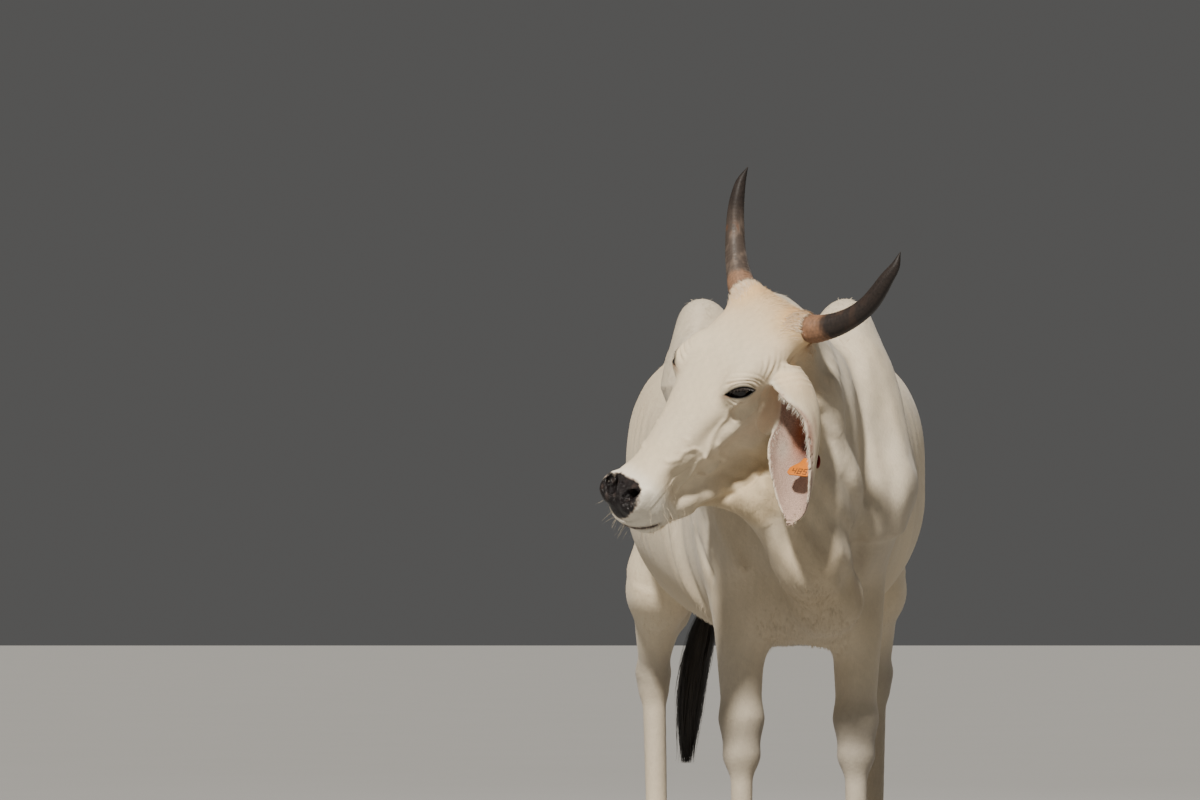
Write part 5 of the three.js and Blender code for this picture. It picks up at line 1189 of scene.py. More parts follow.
# ---------------------------------------------------------------- the short coat
TUFT = tuft_material("coat_tufts")
F = flow(V, N, w)
reg = regions(V, w)
a, b, c = w["a"], w["b"], w["c"]; bb = np.abs(b)
horn_zone = np.exp(-(((a - 0.012) / 0.034) ** 2)) * step(bb, 0.055, 0.075) * step(0.112 - bb, 0, 0.01) * w["head"]
dens = 40000 + 26000 * w["neck"] + 100000 * w["head"] + 85000 * w["ear"] + 22000 * step(0.62 - V[:, 2], 0, 0.1) + 26000 * step(0.16 - V[:, 2], 0, 0.05)
length = 0.0110 - 0.0015 * w["neck"] - 0.0060 * w["head"] - 0.0045 * w["ear"] - 0.0030 * step(0.62 - V[:, 2], 0, 0.1) - 0.0020 * step(0.16 - V[:, 2], 0, 0.05)
length += w["head"] * (0.0035 * bump(a, -0.01, 0.05) - 0.0022 * step(0.050 - w["eyer"], 0, 0.015) - 0.0020 * step(a, 0.40, 0.45))
length += 0.006 * w["tail"]
width = np.clip(length * 0.115, 0.0006, 0.0013)
lift = 0.045 + 0.14 * w["head"] * bump(a, -0.01, 0.05) + 0.30 * horn_zone
dens *= np.clip(1 - bare * 1.6, 0, 1) * (1 - w["mouthin"]) * np.clip((w["eyer"] - 0.0255) / 0.006, 0, 1) ** 0.5

fa = 0.5 * np.linalg.norm(face_normals(V, T), axis=1)


def roots(density, total=None, sel=None, rng=None):
    """random places on the skin: triangle corners' weights and indices"""
    wgt = fa * density[T].mean(1)
    if sel is not None:
        wgt = wgt * sel[T].all(1)
    n = int(wgt.sum()) if total is None else total
    cum = np.cumsum(wgt); t = np.searchsorted(cum, (np.arange(n) + rng.random(n)) / n * cum[-1])
    t = np.minimum(t, len(T) - 1)
    r1, r2 = np.sqrt(rng.random(n)), rng.random(n)
    bar = np.stack([1 - r1, r1 * (1 - r2), r1 * r2], 1)
    return T[t], bar


def at(tri, bar, field_):
    v = field_[tri]
    return (v * bar[..., None]).sum(1) if v.ndim == 3 else (v * bar).sum(1)


def norm(v):
    return v / np.maximum(np.linalg.norm(v, axis=1), 1e-9)[:, None]


tri, bar = roots(dens, rng=RNG)
R_ = at(tri, bar, V); Nr = norm(at(tri, bar, N)); Fr = at(tri, bar, F); Fr = norm(Fr - Nr * (Fr * Nr).sum(1)[:, None])
Cr = at(tri, bar, C); Lr = at(tri, bar, length); Wr = at(tri, bar, width); Ur = at(tri, bar, lift); Gr = reg[tri[:, 0]]
Lr = Lr * RNG.uniform(0.7, 1.25, len(Lr)); Cr = Cr * (1 + RNG.normal(size=(len(Cr), 1)) * 0.045)
tip = np.clip(Cr * 1.05, 0, 1)
atlas = Atlas(V, N, reg)
uvr = atlas.at(R_, Nr, Gr)
GROUPS = {"coat_head": (Gr == 0), "coat_ears": (Gr == 1) | (Gr == 2), "coat_neck": (Gr == 3)}
trunkm = (Gr == 4)
GROUPS["coat_trunk_fore"] = trunkm & (R_[:, 1] < 0.46)
GROUPS["coat_trunk_mid_L"] = trunkm & (R_[:, 1] >= 0.46) & (R_[:, 1] < 0.98) & (R_[:, 0] > 0)
GROUPS["coat_trunk_mid_R"] = trunkm & (R_[:, 1] >= 0.46) & (R_[:, 1] < 0.98) & (R_[:, 0] <= 0)
GROUPS["coat_rump_L"] = trunkm & (R_[:, 1] >= 0.98) & (R_[:, 0] > 0)
GROUPS["coat_rump_R"] = trunkm & (R_[:, 1] >= 0.98) & (R_[:, 0] <= 0)
GROUPS["coat_forelegs"] = (Gr == 5) | (Gr == 6)
GROUPS["coat_hindlegs"] = (Gr == 7) | (Gr == 8) | (Gr == 9)
total = 0
for name, m in GROUPS.items():
    idx = np.where(m)[0]
    if len(idx) * 3 > 196000:
        idx = idx[RNG.permutation(len(idx))[:65000]]
    bl = blades(R_[idx], Nr[idx], Fr[idx], Lr[idx], Wr[idx], Ur[idx], Cr[idx], RNG, curl=0.10, tipcol=tip[idx])
    ob = tuft_piece(name, *bl[:4], bl[4], uvr[idx], TUFT)
    total += len(idx) * 3
print("coat triangles", total, "skin triangles", len(T))

# ---------------------------------------------------------------- longer hair: horn bases, poll, ears, jaw, chin
def fringe(name, density, len_, wid_, lift_, colour, n, extra=None, segs=4, curl=0.25, slot="coat"):
    tr, br = roots(density, total=n, rng=RNG)
    P = at(tr, br, V); n_ = norm(at(tr, br, N)); f_ = at(tr, br, F)
    if extra is not None:
        f_ = f_ + extra
    f_ = norm(f_ - n_ * (f_ * n_).sum(1)[:, None])
    col = at(tr, br, C) if colour is None else np.tile(colour, (len(P), 1))
    col = np.clip(col * (1 + RNG.normal(size=(len(P), 1)) * 0.06), 0, 1)
    ln = len_ * RNG.uniform(0.55, 1.25, len(P))
    return P, n_, f_, ln, np.full(len(P), wid_), np.full(len(P), lift_), col, reg[tr[:, 0]]


parts = []
parts.append(fringe("", horn_zone ** 2, 0.016, 0.0009, 0.34, WHITE * 0.55 + PEACH * 0.45, 1700))
parts.append(fringe("", horn_zone * (a < 0.03), 0.011, 0.0009, 0.45, PEACH * 1.05, 700))
poll = w["head"] * bump(a, -0.035, 0.030) * step(0.07 - bb, 0, 0.03)
parts.append(fringe("", poll, 0.013, 0.0010, 0.35, None, 900))
jaw = w["head"] * step(-c, 0.165, 0.20) * step(0.42 - a, 0, 0.06) * step(a, 0.10, 0.2)
parts.append(fringe("", jaw, 0.010, 0.0008, 0.40, None, 700, extra=np.array([0, 0, -0.8])))
# the chin's hairs take the painted warm light reflected from below
chin = w["head"] * step(a, 0.43, 0.47) * step(-c, 0.115, 0.135)
parts.append(fringe("", chin, 0.010, 0.0007, 0.55, BOUNCE_YELLOW, 260))
cor = step(0.098 - V[:, 2], 0, 0.012) * step(V[:, 2], 0.050, 0.066)
parts.append(fringe("", cor, 0.016, 0.0011, 0.30, None, 1500))
ridge = step(N[:, 2], 0.75, 0.95) * step(V[:, 2], 1.14, 1.2) * (1 - w["head"])
parts.append(fringe("", ridge, 0.018, 0.0013, 0.22, None, 3000))
brisk = step(-N[:, 2], 0.45, 0.8) * step(0.75 - V[:, 2], 0, 0.08) * step(V[:, 2], 0.56, 0.6) * (V[:, 1] < 0.3)
parts.append(fringe("", brisk, 0.020, 0.0013, 0.35, None, 2200, extra=np.array([0, 0, -0.5])))
belly = step(-N[:, 2], 0.6, 0.9) * step(V[:, 2], 0.55, 0.6) * (V[:, 1] > 0.3) * (V[:, 2] < 0.76)
parts.append(fringe("", belly, 0.018, 0.0013, 0.28, None, 2600))
P, n_, f_, ln, wd, lf, col, rg = [np.concatenate([q[i] for q in parts]) for i in range(8)]
bl = blades(P, n_, f_, ln, wd, lf, col, RNG, curl=0.22, segs=4, tipcol=np.clip(col * 1.04, 0, 1))
ob = tuft_piece("coat_fringe", *bl[:4], bl[4], atlas.at(P, n_, rg), TUFT)


def loose(name, P, D_, n_, ln, wd, droop, col, mat, segs=6, down_=(0, 0, -1), uv=True, tipw=0.0, jitter=0.0):
    """single hairs or locks: flat tapering strips along D_, bending towards down_"""
    k = len(P); D_ = norm(D_ + RNG.normal(size=(k, 3)) * jitter); W = norm(np.cross(n_, D_))
    ts = np.linspace(0, 1, segs + 1); vs, cs = [], []
    for i, t in enumerate(ts):
        p = P + D_ * ln[:, None] * t + np.array(down_) * (droop * ln * t * t)[:, None]
        ww = (wd * 0.5 * max(0.0, 1 - t ** 1.6) + wd * tipw * (1 - t))[:, None]
        if i < segs:
            vs += [p - W * ww, p + W * ww]; cs += [col, col]
        else:
            vs += [p]; cs += [col]
    kk = len(vs); Vv = np.stack(vs, 1).reshape(-1, 3); Cc = np.stack(cs, 1).reshape(-1, 3)
    base = (np.arange(k) * kk)[:, None]
    quads = [base + np.array([[2 * i, 2 * i + 1, 2 * i + 3, 2 * i + 2]]) for i in range(segs - 1)]
    tri_ = base + np.array([[2 * segs - 2, 2 * segs - 1, 2 * segs]])
    g = (np.arange(k) % 300) / 300
    uvq = np.stack([0.01 + 0.98 * g, 0.01 + 0.98 * ((np.arange(k) // 300) / max(1, k // 300 + 1))], 1)
    pat = np.stack([np.where(np.arange(kk) % 2 == 0, -1, 1) * 0.0013, (np.arange(kk) // 2) / max(1, kk // 2) * 0.0026 - 0.0013], 1)
    U = np.clip((uvq[:, None, :] + pat[None]).reshape(-1, 2), 0, 1)
    ob = make(name, Vv, [*quads, tri_], mat, colour=Cc, uv=U)
    return ob


def ear_point(E, s, ph, off=0.0):
    R = ear_r(s) + off; lift_ = ear_r(s) * 0.25 - 0.012
    return E["base"] + E["D"] * (s * E["L"])[:, None] + E["W"] * (R * np.sin(ph))[:, None] - E["n"] * (R * np.cos(ph) + lift_)[:, None]


HAIR = tuft_material("loose_hair", 0.5, 0.1)
for key, E in EARS.items():
    Ps, Ds, Ls = [], [], []
    for sg, cnt in ((-1, 260), (1, 620)):
        s_ = RNG.uniform(0.16, 0.86, cnt); th = np.radians(ear_t(s_)) * RNG.uniform(0.93, 1.0, cnt)
        Ps.append(ear_point(E, s_, np.radians(ear_m(s_)) + sg * th, -0.001))
        Ds.append(E["W"] * -sg * 0.62 + E["D"] * 0.75 - E["n"] * RNG.uniform(-0.25, 0.35, cnt)[:, None])
        Ls.append(RNG.uniform(0.006, 0.017, cnt) * (1.15 if sg > 0 else 0.6) * bump(s_, 0.42, 0.45))
    P = np.concatenate(Ps); D_ = np.concatenate(Ds); ln = np.concatenate(Ls)
    loose("hair_ear_" + key, P, norm(D_), np.tile(E["n"], (len(P), 1)), ln, np.full(len(P), 0.0009), 0.25, np.tile(WHITE, (len(P), 1)) * RNG.uniform(0.8, 1.0, (len(P), 1)), HAIR, jitter=0.12)

# lashes along the upper lid, and whiskers
for sg in (1, -1):
    k = 80; al_ = np.linspace(-0.022, 0.019, k) + RNG.normal(size=k) * 0.0003
    ac_ = lid_edges(al_)[0] + 0.0004
    ao_ = np.sqrt(np.maximum((EYE_R + 0.0032) ** 2 - al_ ** 2 - ac_ ** 2, 0.00003))
    q_ = np.array(EYE) + al_[:, None] * E1 + ac_[:, None] * E2 + ao_[:, None] * EO
    P = POLL + FH * q_[:, :1] + LH * (sg * q_[:, 1:2]) + UH * q_[:, 2:3]
    dq = EO * 0.9 - E2 * 0.35 + (al_ / 0.03)[:, None] * E1
    D_ = FH * dq[:, :1] + LH * (sg * dq[:, 1:2]) + UH * dq[:, 2:3]
    loose("lashes_" + ("L" if sg > 0 else "R"), P, norm(D_), np.tile(UH, (k, 1)), RNG.uniform(0.008, 0.013, k), np.full(k, 0.0009), 0.35, np.tile(srgb(0.16, 0.13, 0.12), (k, 1)), HAIR, jitter=0.06)
wk = w["head"] * step(a, 0.40, 0.44) * (1 - w["pad"]) * step(-c, 0.03, 0.06)
tr, br = roots(wk, total=130, rng=RNG)
P = at(tr, br, V); n_ = norm(at(tr, br, N))
loose("whiskers", P, norm(n_ + FH * 0.5), norm(np.cross(n_, [0.3, 0.1, 1.0])), RNG.uniform(0.012, 0.030, len(P)), np.full(len(P), 0.00040), 0.25, np.tile(CREAM * 0.80, (len(P), 1)), HAIR, jitter=0.15)


# ---------------------------------------------------------------- eyes
def eye_material():
    m = Nodes("eye"); co = m.coord(); base = m.attr("coat").outputs["Color"]
    n = m.noise(co, 700.0, 3.0)
    m.set(colour=m.mix(m.ramp(n, 0.35, 0.7, 0.0, 0.35), base, (0.010, 0.006, 0.005)), rough=0.16, coat=0.35, coat_rough=0.04, spec=0.35)
    m.set(normal=m.bump(n, 0.0002, 0.10))
    return m.mat


EYEM = eye_material()
for sg, nm in ((1, "L"), (-1, "R")):
    ctr = from_head(EYE[0], sg * EYE[1], EYE[2])
    tohead = lambda v: FH * v[0] + LH * (sg * v[1]) + UH * v[2]
    ax_ = unit(tohead(EO - 0.10 * E2)); e1 = unit(tohead(E1) - ax_ * (tohead(E1) @ ax_)); e2 = np.cross(ax_, e1)
    nt, npz = 72, 96
    th, ph = np.meshgrid(np.linspace(0, np.pi, nt), np.linspace(0, 2 * np.pi, npz, endpoint=False), indexing="ij")
    rad = EYE_R * 0.985 + 0.0011 * step(0.62 - th, 0, 0.30)
    q = np.stack([np.sin(th) * np.cos(ph), np.sin(th) * np.sin(ph), np.cos(th)], -1)
    Pp = ctr + (rad[..., None] * q) @ np.array([e1, e2, ax_])
    u_, v_ = (EYE_R * q[..., 0]), (EYE_R * q[..., 1]); rr_ = np.hypot(u_, v_)
    iris = step(0.0128 - rr_, 0, 0.0012) * (th < 1.4)
    pupil = step(1.0 - ((np.abs(u_) / 0.0072) ** 2.6 + (np.abs(v_) / 0.0034) ** 2.6), -0.15, 0.15) * (th < 1.4)
    col = np.ones((nt, npz, 1)) * srgb(0.11, 0.085, 0.078)
    streak = 0.5 + 0.5 * np.sin(ph * 37 + 3 * np.sin(ph * 5)) * np.sin(ph * 11 + 1)
    ir = srgb(0.075, 0.055, 0.048) * (0.65 + 0.5 * streak[..., None]) * (1 - 0.6 * bump(rr_, 0.0128, 0.0018)[..., None])
    col = col * (1 - iris[..., None]) + ir * iris[..., None]
    col = col * (1 - 0.5 * bump(rr_, 0.0135, 0.0022)[..., None] * (th < 1.4)[..., None])
    col = col * (1 - pupil[..., None]) + srgb(0.020, 0.022, 0.030) * pupil[..., None]
    idx = np.arange(nt * npz).reshape(nt, npz)
    A, B_, C2, D2 = idx[:-1], idx[1:], np.roll(idx, -1, 1)[1:], np.roll(idx, -1, 1)[:-1]
    ob = make("eyeball_" + nm, Pp.reshape(-1, 3), [np.stack([A, B_, C2, D2], -1).reshape(-1, 4)], EYEM, colour=col.reshape(-1, 3))
    me = ob.data; me.validate()
    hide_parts("eye_" + nm)


# ---------------------------------------------------------------- horns
HORN_LINE = [[0.010, 0.078, -0.022], [0.0079, 0.108, -0.020], [-0.0129, 0.143, -0.019], [-0.0362, 0.172, -0.0135], [-0.0615, 0.196, -0.005], [-0.0877, 0.215, 0.0064], [-0.1142, 0.229, 0.0218], [-0.1414, 0.239, 0.0374], [-0.1698, 0.247, 0.050], [-0.1975, 0.2452, 0.0631]]
HORN_RAD = [0.027, 0.0295, 0.0263, 0.0236, 0.0215, 0.0200, 0.0182, 0.0154, 0.0108, 0.0020]


def tube(line, frame_up, rad, nr, ns, closed_tip=True):
    """rings along a smooth line; rad(t, angle) gives the radius"""
    L = np.array(line); d = np.concatenate([[0], np.cumsum(np.linalg.norm(np.diff(L, axis=0), axis=1))])
    f = [curve(d, L[:, i]) for i in range(3)]
    t = np.linspace(0, d[-1], nr); P = np.stack([g(t) for g in f], 1)
    Tn = np.gradient(P, t, axis=0); Tn = norm(Tn)
    U = norm(np.cross(Tn, frame_up)); Wv = np.cross(U, Tn)
    an = np.linspace(0, 2 * np.pi, ns, endpoint=False)
    R = rad(t[:, None], an[None, :], d[-1])
    X = P[:, None] + U[:, None] * (R * np.cos(an))[..., None] + Wv[:, None] * (R * np.sin(an))[..., None]
    idx = np.arange(nr * ns).reshape(nr, ns)
    q = np.stack([idx[:-1], np.roll(idx, -1, 1)[:-1], np.roll(idx, -1, 1)[1:], idx[1:]], -1).reshape(-1, 4)
    V_ = np.concatenate([X.reshape(-1, 3), P[:1] - Tn[:1] * 0.001, P[-1:] + Tn[-1:] * float(R[-1].mean()) * 0.9])
    nn_ = nr * ns
    cap = np.concatenate([np.stack([np.roll(idx[0], -1), idx[0], np.full(ns, nn_)], 1), np.stack([idx[-1], np.roll(idx[-1], -1), np.full(ns, nn_ + 1)], 1)])
    return V_, q, cap, t, an, d[-1]


def horn_material():
    m = Nodes("horn"); co = m.coord(); base = m.attr("coat").outputs["Color"]
    n = m.noise(co, 260.0, 4.0); fine = m.noise(m.mapped(co, (1.0, 1.0, 0.35)), 520.0, 3.0)
    m.set(colour=m.mix(m.ramp(n, 0.3, 0.75, 0.0, 0.35), base, (0.055, 0.040, 0.030)), spec=0.30, coat=0.0)
    m.set(rough=m.ramp(n, 0.25, 0.75, 0.46, 0.66), normal=m.bump(fine, 0.0006, 0.5))
    return m.mat


HORNM = horn_material()
for sg, nm in ((1, "L"), (-1, "R")):
    line = [from_head(h[0], sg * h[1], h[2]) for h in HORN_LINE]
    dist = np.concatenate([[0], np.cumsum([np.linalg.norm(np.subtract(line[i + 1], line[i])) for i in range(len(line) - 1)])])
    rc = curve(dist, [r - 0.0004 for r in HORN_RAD])
    ph0 = 0.7 if sg > 0 else 2.1

    def rad(t, an, L):
        r = rc(t) + 0 * an
        ring = np.sin(2 * np.pi * (t + 0.0009 * np.sin(2 * an + ph0)) / 0.0085 + 1.3 * np.sin(t * 60))
        amp = (0.00042 * step(0.150 - t, 0, 0.09) + 0.00008) * (0.6 + 0.4 * np.sin(2 * an + 31 * t))
        r = r + amp * ring * (r > 0.006) + 0.0003 * np.sin(5 * an + 9 * t) * (r > 0.01)
        return np.maximum(r - 0.0006, 0.0012)
    V_, q, cap, t, an, L = tube(line, UH, rad, 240, 64)
    tt = np.concatenate([np.repeat(t, 64), [0, L]]) ; aa = np.concatenate([np.tile(an, 240), [0, 0]])
    n1 = wave(V_, 22.0, 51); n2 = wave(V_, 70.0, 52); n3 = wave(V_ * [1, 1, 0.4], 160.0, 53)
    base = np.tile(srgb(0.150, 0.128, 0.122), (len(V_), 1))
    u = tt - 0.030 + 0.005 * n2 * step(tt, 0.035, 0.06)
    if sg > 0:
        base = blend(base, srgb(0.285, 0.215, 0.175), 0.6 * step(n1 + 0.5 * n2, -0.2, 0.8) * step(0.20 - u, 0, 0.12))
        base = blend(base, srgb(0.575, 0.425, 0.320), step(0.054 + 0.006 * n1 - u, 0, 0.030) * (0.85 + 0.15 * n3))
    else:
        base = blend(base, srgb(0.44, 0.385, 0.345), (0.35 + 0.5 * step(n1 + 0.6 * n2, -0.4, 0.7)) * step(0.215 - u, 0, 0.07))
        base = blend(base, srgb(0.575, 0.440, 0.345), step(0.045 + 0.008 * n1 - u, 0, 0.02) * (0.85 + 0.15 * n3))
        base = blend(base, srgb(0.42, 0.27, 0.18), 0.5 * bump(u, 0.150, 0.012) * step(n2, 0, 0.5))
    base = blend(base, srgb(0.16, 0.125, 0.11), 0.6 * step(0.006 - u, 0, 0.008))
    base = blend(base, srgb(0.045, 0.042, 0.045), step(u, 0.235, 0.30))
    streak = wave(np.stack([np.cos(aa) * 0.04, np.sin(aa) * 0.04, tt * 0.12], 1), 130.0, 54)
    base = base * (1 + 0.10 * n3 + 0.16 * streak + 0.03 * np.sin(2 * np.pi * (tt + 0.002 * n1) / 0.0085))[:, None]
    ob = make("horn_full_" + nm, V_, [q, cap], HORNM, colour=np.clip(base, 0, 1))
    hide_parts("horn_" + nm)


# ---------------------------------------------------------------- hooves
CLAW_L, CLAW_W, CLAW_GAP, HOOF_H, HEEL_H = 0.118, 0.049, 0.008, 0.072, 0.045


def hoof_material():
    m = Nodes("hoof"); co = m.coord(); base = m.attr("coat").outputs["Color"]
    n = m.noise(m.mapped(co, (1.0, 1.0, 0.3)), 240.0, 4.0); dirt = m.noise(co, 60.0, 4.0)
    col = m.mix(m.ramp(n, 0.35, 0.7, 0.0, 0.4), base, (0.10, 0.085, 0.07))
    m.set(colour=m.mix(m.ramp(dirt, 0.55, 0.75, 0.0, 0.35), col, (0.20, 0.16, 0.12)), rough=0.55, spec=0.4, normal=m.bump(n, 0.0010, 0.5))
    return m.mat


HOOFM = hoof_material()
for end, sx in (("fore", 1), ("fore", -1), ("hind", 1), ("hind", -1)):
    fore = end == "fore"
    cx = LEG_SHIFT + sx * FORE_X if fore else -0.01 + sx * HIND_X; fy = -0.030 if fore else 1.190
    for inner in (0, 1):
        s_ = -1 if inner else 1; x0 = cx + s_ * (CLAW_GAP / 2 + CLAW_W / 2)
        nz, na = 40, 72; an = np.linspace(0, 2 * np.pi, na, endpoint=False)
        zs = np.array([0, 0.030, 0.060, 0.100]); gr = curve(zs, [1, 0.965, 0.93, 0.90]); bk = curve(zs, [0, 0.012, 0.026, 0.045])
        cs_, sn = np.cos(an), np.sin(an); X = np.zeros((nz, na, 3))
        zt = np.full(na, 0.06)
        for _ in range(6):
            ly = -sn * CLAW_L / 2 * np.where(sn > 0, gr(zt), 0.94); yy = fy + ly + bk(zt) * (0.6 + 0.4 * sn)
            zt = HOOF_H - (yy - (fy - CLAW_L * 0.30)) * 0.2547 - 0.0012
        for i in range(nz):
            f = i / (nz - 1); z_ = zt * f; g_ = gr(z_); 
            lx = np.sign(cs_) * np.abs(cs_) ** 0.75 * CLAW_W / 2 * g_; ly = -sn * CLAW_L / 2 * np.where(sn > 0, g_, 0.94)
            lx = lx * (1 - 0.22 * np.maximum(0, sn))
            rr = 1.0 - 0.010 - 0.05 * max(0.0, 1 - i / 2.0) ** 2 - 0.06 * max(0.0, (i - nz + 5) / 4.0) ** 2 + 0.004 * np.sin(2 * np.pi * (z_ + 0.02 * sn * 0) / 0.0065) * min(1, i / 4) - 0.004
            X[i, :, 0] = x0 + lx * rr - s_ * 0.006 * np.maximum(0, sn); X[i, :, 1] = fy + ly * rr + bk(z_) * (0.6 + 0.4 * sn); X[i, :, 2] = z_
        idx = np.arange(nz * na).reshape(nz, na)
        q = np.stack([idx[:-1], np.roll(idx, -1, 1)[:-1], np.roll(idx, -1, 1)[1:], idx[1:]], -1).reshape(-1, 4)[:, ::-1]
        V_ = np.concatenate([X.reshape(-1, 3), X[:1].mean(1), X[-1:].mean(1)])
        cap = np.concatenate([np.stack([idx[0], np.roll(idx[0], -1), np.full(na, nz * na)], 1), np.stack([np.roll(idx[-1], -1), idx[-1], np.full(na, nz * na + 1)], 1)])
        hz = V_[:, 2]
        col = np.tile(srgb(0.185, 0.165, 0.155), (len(V_), 1))
        col = blend(col, srgb(0.34, 0.295, 0.255), 0.45 * step(hz, 0.045, 0.07)); col = blend(col, srgb(0.30, 0.26, 0.225), 0.5 * step(wave(V_, 40.0, 61), 0.1, 0.8))
        tag = f"hoof_{end}_{'L' if sx > 0 else 'R'}_{'a' if inner else 'b'}"
        ob = make(tag.replace("hoof", "claw"), V_, [q, cap], HOOFM, colour=col)
        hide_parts(tag)

# ---------------------------------------------------------------- ear tag
E = EARS["L"]
_s, _p = np.array([0.590]), np.array([0.36])
p0 = ear_point(E, _s, _p)[0]; out_dir = unit(ear_point(E, _s, _p, 0.01)[0] - p0); inward = -out_dir
face = unit([-0.307, -0.651, 0.692]); along = np.array([-0.422, -0.560, -0.714])
ln_ = unit(along - face * (along @ face)); fy_ = -ln_; fx_ = np.cross(fy_, face); org = p0 + inward * 0.0165
outline = [(-0.007, 0.006), (0.007, 0.006), (0.010, -0.006), (0.026, -0.022), (0.027, -0.036), (0.020, -0.042), (-0.020, -0.042), (-0.027, -0.036), (-0.026, -0.022), (-0.010, -0.006)]


def rounded(pts, r, n=7):
    out = []
    for i in range(len(pts)):
        a_, b_, c_ = (np.array(pts[(i + k) % len(pts)]) for k in (-1, 0, 1))
        u_, v_ = unit(a_ - b_), unit(c_ - b_); rr = min(r, 0.4 * np.linalg.norm(a_ - b_), 0.4 * np.linalg.norm(c_ - b_))
        p_, q_ = b_ + u_ * rr, b_ + v_ * rr
        for k in range(n):
            t_ = k / (n - 1); out.append((1 - t_) ** 2 * p_ + 2 * t_ * (1 - t_) * b_ + t_ ** 2 * q_)
    return np.array(out)


def plate(pts, z0, z1, bev, place):
    """a bevelled plate from an outline"""
    ctr_ = pts.mean(0); rings = []
    for z_, k in ((z0, bev), (z0 + bev * 0.3, bev * 0.3), (z0 + bev, 0), (z1 - bev, 0), (z1 - bev * 0.3, bev * 0.3), (z1, bev)):
        d_ = pts - ctr_; l_ = np.linalg.norm(d_, axis=1)[:, None]
        rings.append(np.concatenate([ctr_ + d_ * (1 - k / l_), np.full((len(pts), 1), z_)], 1))
    n_ = len(pts); X = np.concatenate(rings + [[[*ctr_, z0]], [[*ctr_, z1]]])
    idx = np.arange(6 * n_).reshape(6, n_)
    q = np.stack([idx[:-1], np.roll(idx, -1, 1)[:-1], np.roll(idx, -1, 1)[1:], idx[1:]], -1).reshape(-1, 4)
    cap = np.concatenate([np.stack([np.roll(idx[0], -1), idx[0], np.full(n_, 6 * n_)], 1), np.stack([idx[-1], np.roll(idx[-1], -1), np.full(n_, 6 * n_ + 1)], 1)])
    return place(X), q, cap


def on_tag(X):
    return org + X[:, :1] * fx_ + X[:, 1:2] * fy_ + X[:, 2:3] * face


def plastic(name, colour, dark, rough):
    m = Nodes(name); co = m.coord()
    n = m.noise(co, 180.0, 4.0); g = m.noise(co, 900.0, 2.0); sc = m.noise(m.mapped(co, (1, 0.1, 1)), 500.0, 2.0)
    col = m.mix(m.ramp(n, 0.35, 0.75, 0.0, 0.40), colour, dark)
    m.set(colour=m.mix(m.ramp(sc, 0.62, 0.72, 0.0, 0.25), col, dark), rough=m.ramp(n, 0.3, 0.7, rough - 0.06, rough + 0.12), spec=0.5, normal=m.bump(g, 0.0003, 0.4))
    return m.mat


ORANGE = plastic("tag_orange", tuple(srgb(0.790, 0.440, 0.000)), tuple(srgb(0.70, 0.36, 0.00)), 0.60)
V_, q, cap = plate(rounded(outline[::-1], 0.003), 0.0, 0.0022, 0.0006, on_tag)
# the stem, from the plate through the ear
su = unit(np.cross(out_dir, [0, 0, 1.0])); sv = np.cross(out_dir, su); an = np.linspace(0, 2 * np.pi, 32, endpoint=False)
rows = [(-0.0190, 0.0022), (-0.0185, 0.0030), (0.0055, 0.0030), (0.0062, 0.0024)]
X = np.stack([p0 + out_dir * l_ + r_ * (np.cos(an)[:, None] * su + np.sin(an)[:, None] * sv) for l_, r_ in rows]).reshape(-1, 3)
k0 = len(V_); idx = k0 + np.arange(4 * 32).reshape(4, 32)
q2 = np.stack([idx[:-1], np.roll(idx, -1, 1)[:-1], np.roll(idx, -1, 1)[1:], idx[1:]], -1).reshape(-1, 4)
V_ = np.concatenate([V_, X, [p0 + out_dir * -0.0190], [p0 + out_dir * 0.0062]]); k1 = len(V_)
cap2 = np.concatenate([np.stack([np.roll(idx[0], -1), idx[0], np.full(32, k1 - 2)], 1), np.stack([idx[-1], np.roll(idx[-1], -1), np.full(32, k1 - 1)], 1)])
tagp = make("tag_panel", V_, [np.concatenate([q, q2]), np.concatenate([cap, cap2])], ORANGE)
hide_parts("ear_tag_panel")

# plain generic digits, each of short straight strokes
SEG = {0: ((0, 1), (1, 1)), 1: ((0, 0.5), (0, 1)), 2: ((1, 0.5), (1, 1)), 3: ((0, 0.5), (1, 0.5)), 4: ((0, 0), (0, 0.5)), 5: ((1, 0), (1, 0.5)), 6: ((0, 0), (1, 0))}
DIGITS = {"4": (1, 2, 3, 5), "8": (0, 1, 2, 3, 4, 5, 6), "5": (0, 1, 3, 5, 6)}
vs, qs, cs = [], [], []; base_ = 0
for i, ch in enumerate("485"):
    for sg_ in DIGITS[ch]:
        (x1, y1), (x2, y2) = SEG[sg_]
        o_ = np.array([-0.0160 + i * 0.0125, -0.0375]); sc_ = np.array([0.0075, 0.0130])
        A_ = o_ + np.array([x1, y1]) * sc_; B2 = o_ + np.array([x2, y2]) * sc_
        d_ = unit(B2 - A_); n2 = np.array([-d_[1], d_[0]]) * 0.0009
        pts = np.array([A_ - n2 - d_ * 0.0008, B2 - n2 + d_ * 0.0008, B2 + n2 + d_ * 0.0008, A_ + n2 - d_ * 0.0008])
        x_, q_, c_ = plate(rounded(pts, 0.0006, 4), 0.0019, 0.0025, 0.0001, on_tag)
        vs.append(x_); qs.append(q_ + base_); cs.append(c_ + base_); base_ += len(x_)
INK = plastic("tag_ink", tuple(srgb(0.25, 0.13, 0.06)), tuple(srgb(0.40, 0.22, 0.09)), 0.5)
dg = make("tag_digits", np.concatenate(vs), [np.concatenate(qs), np.concatenate(cs)], INK)

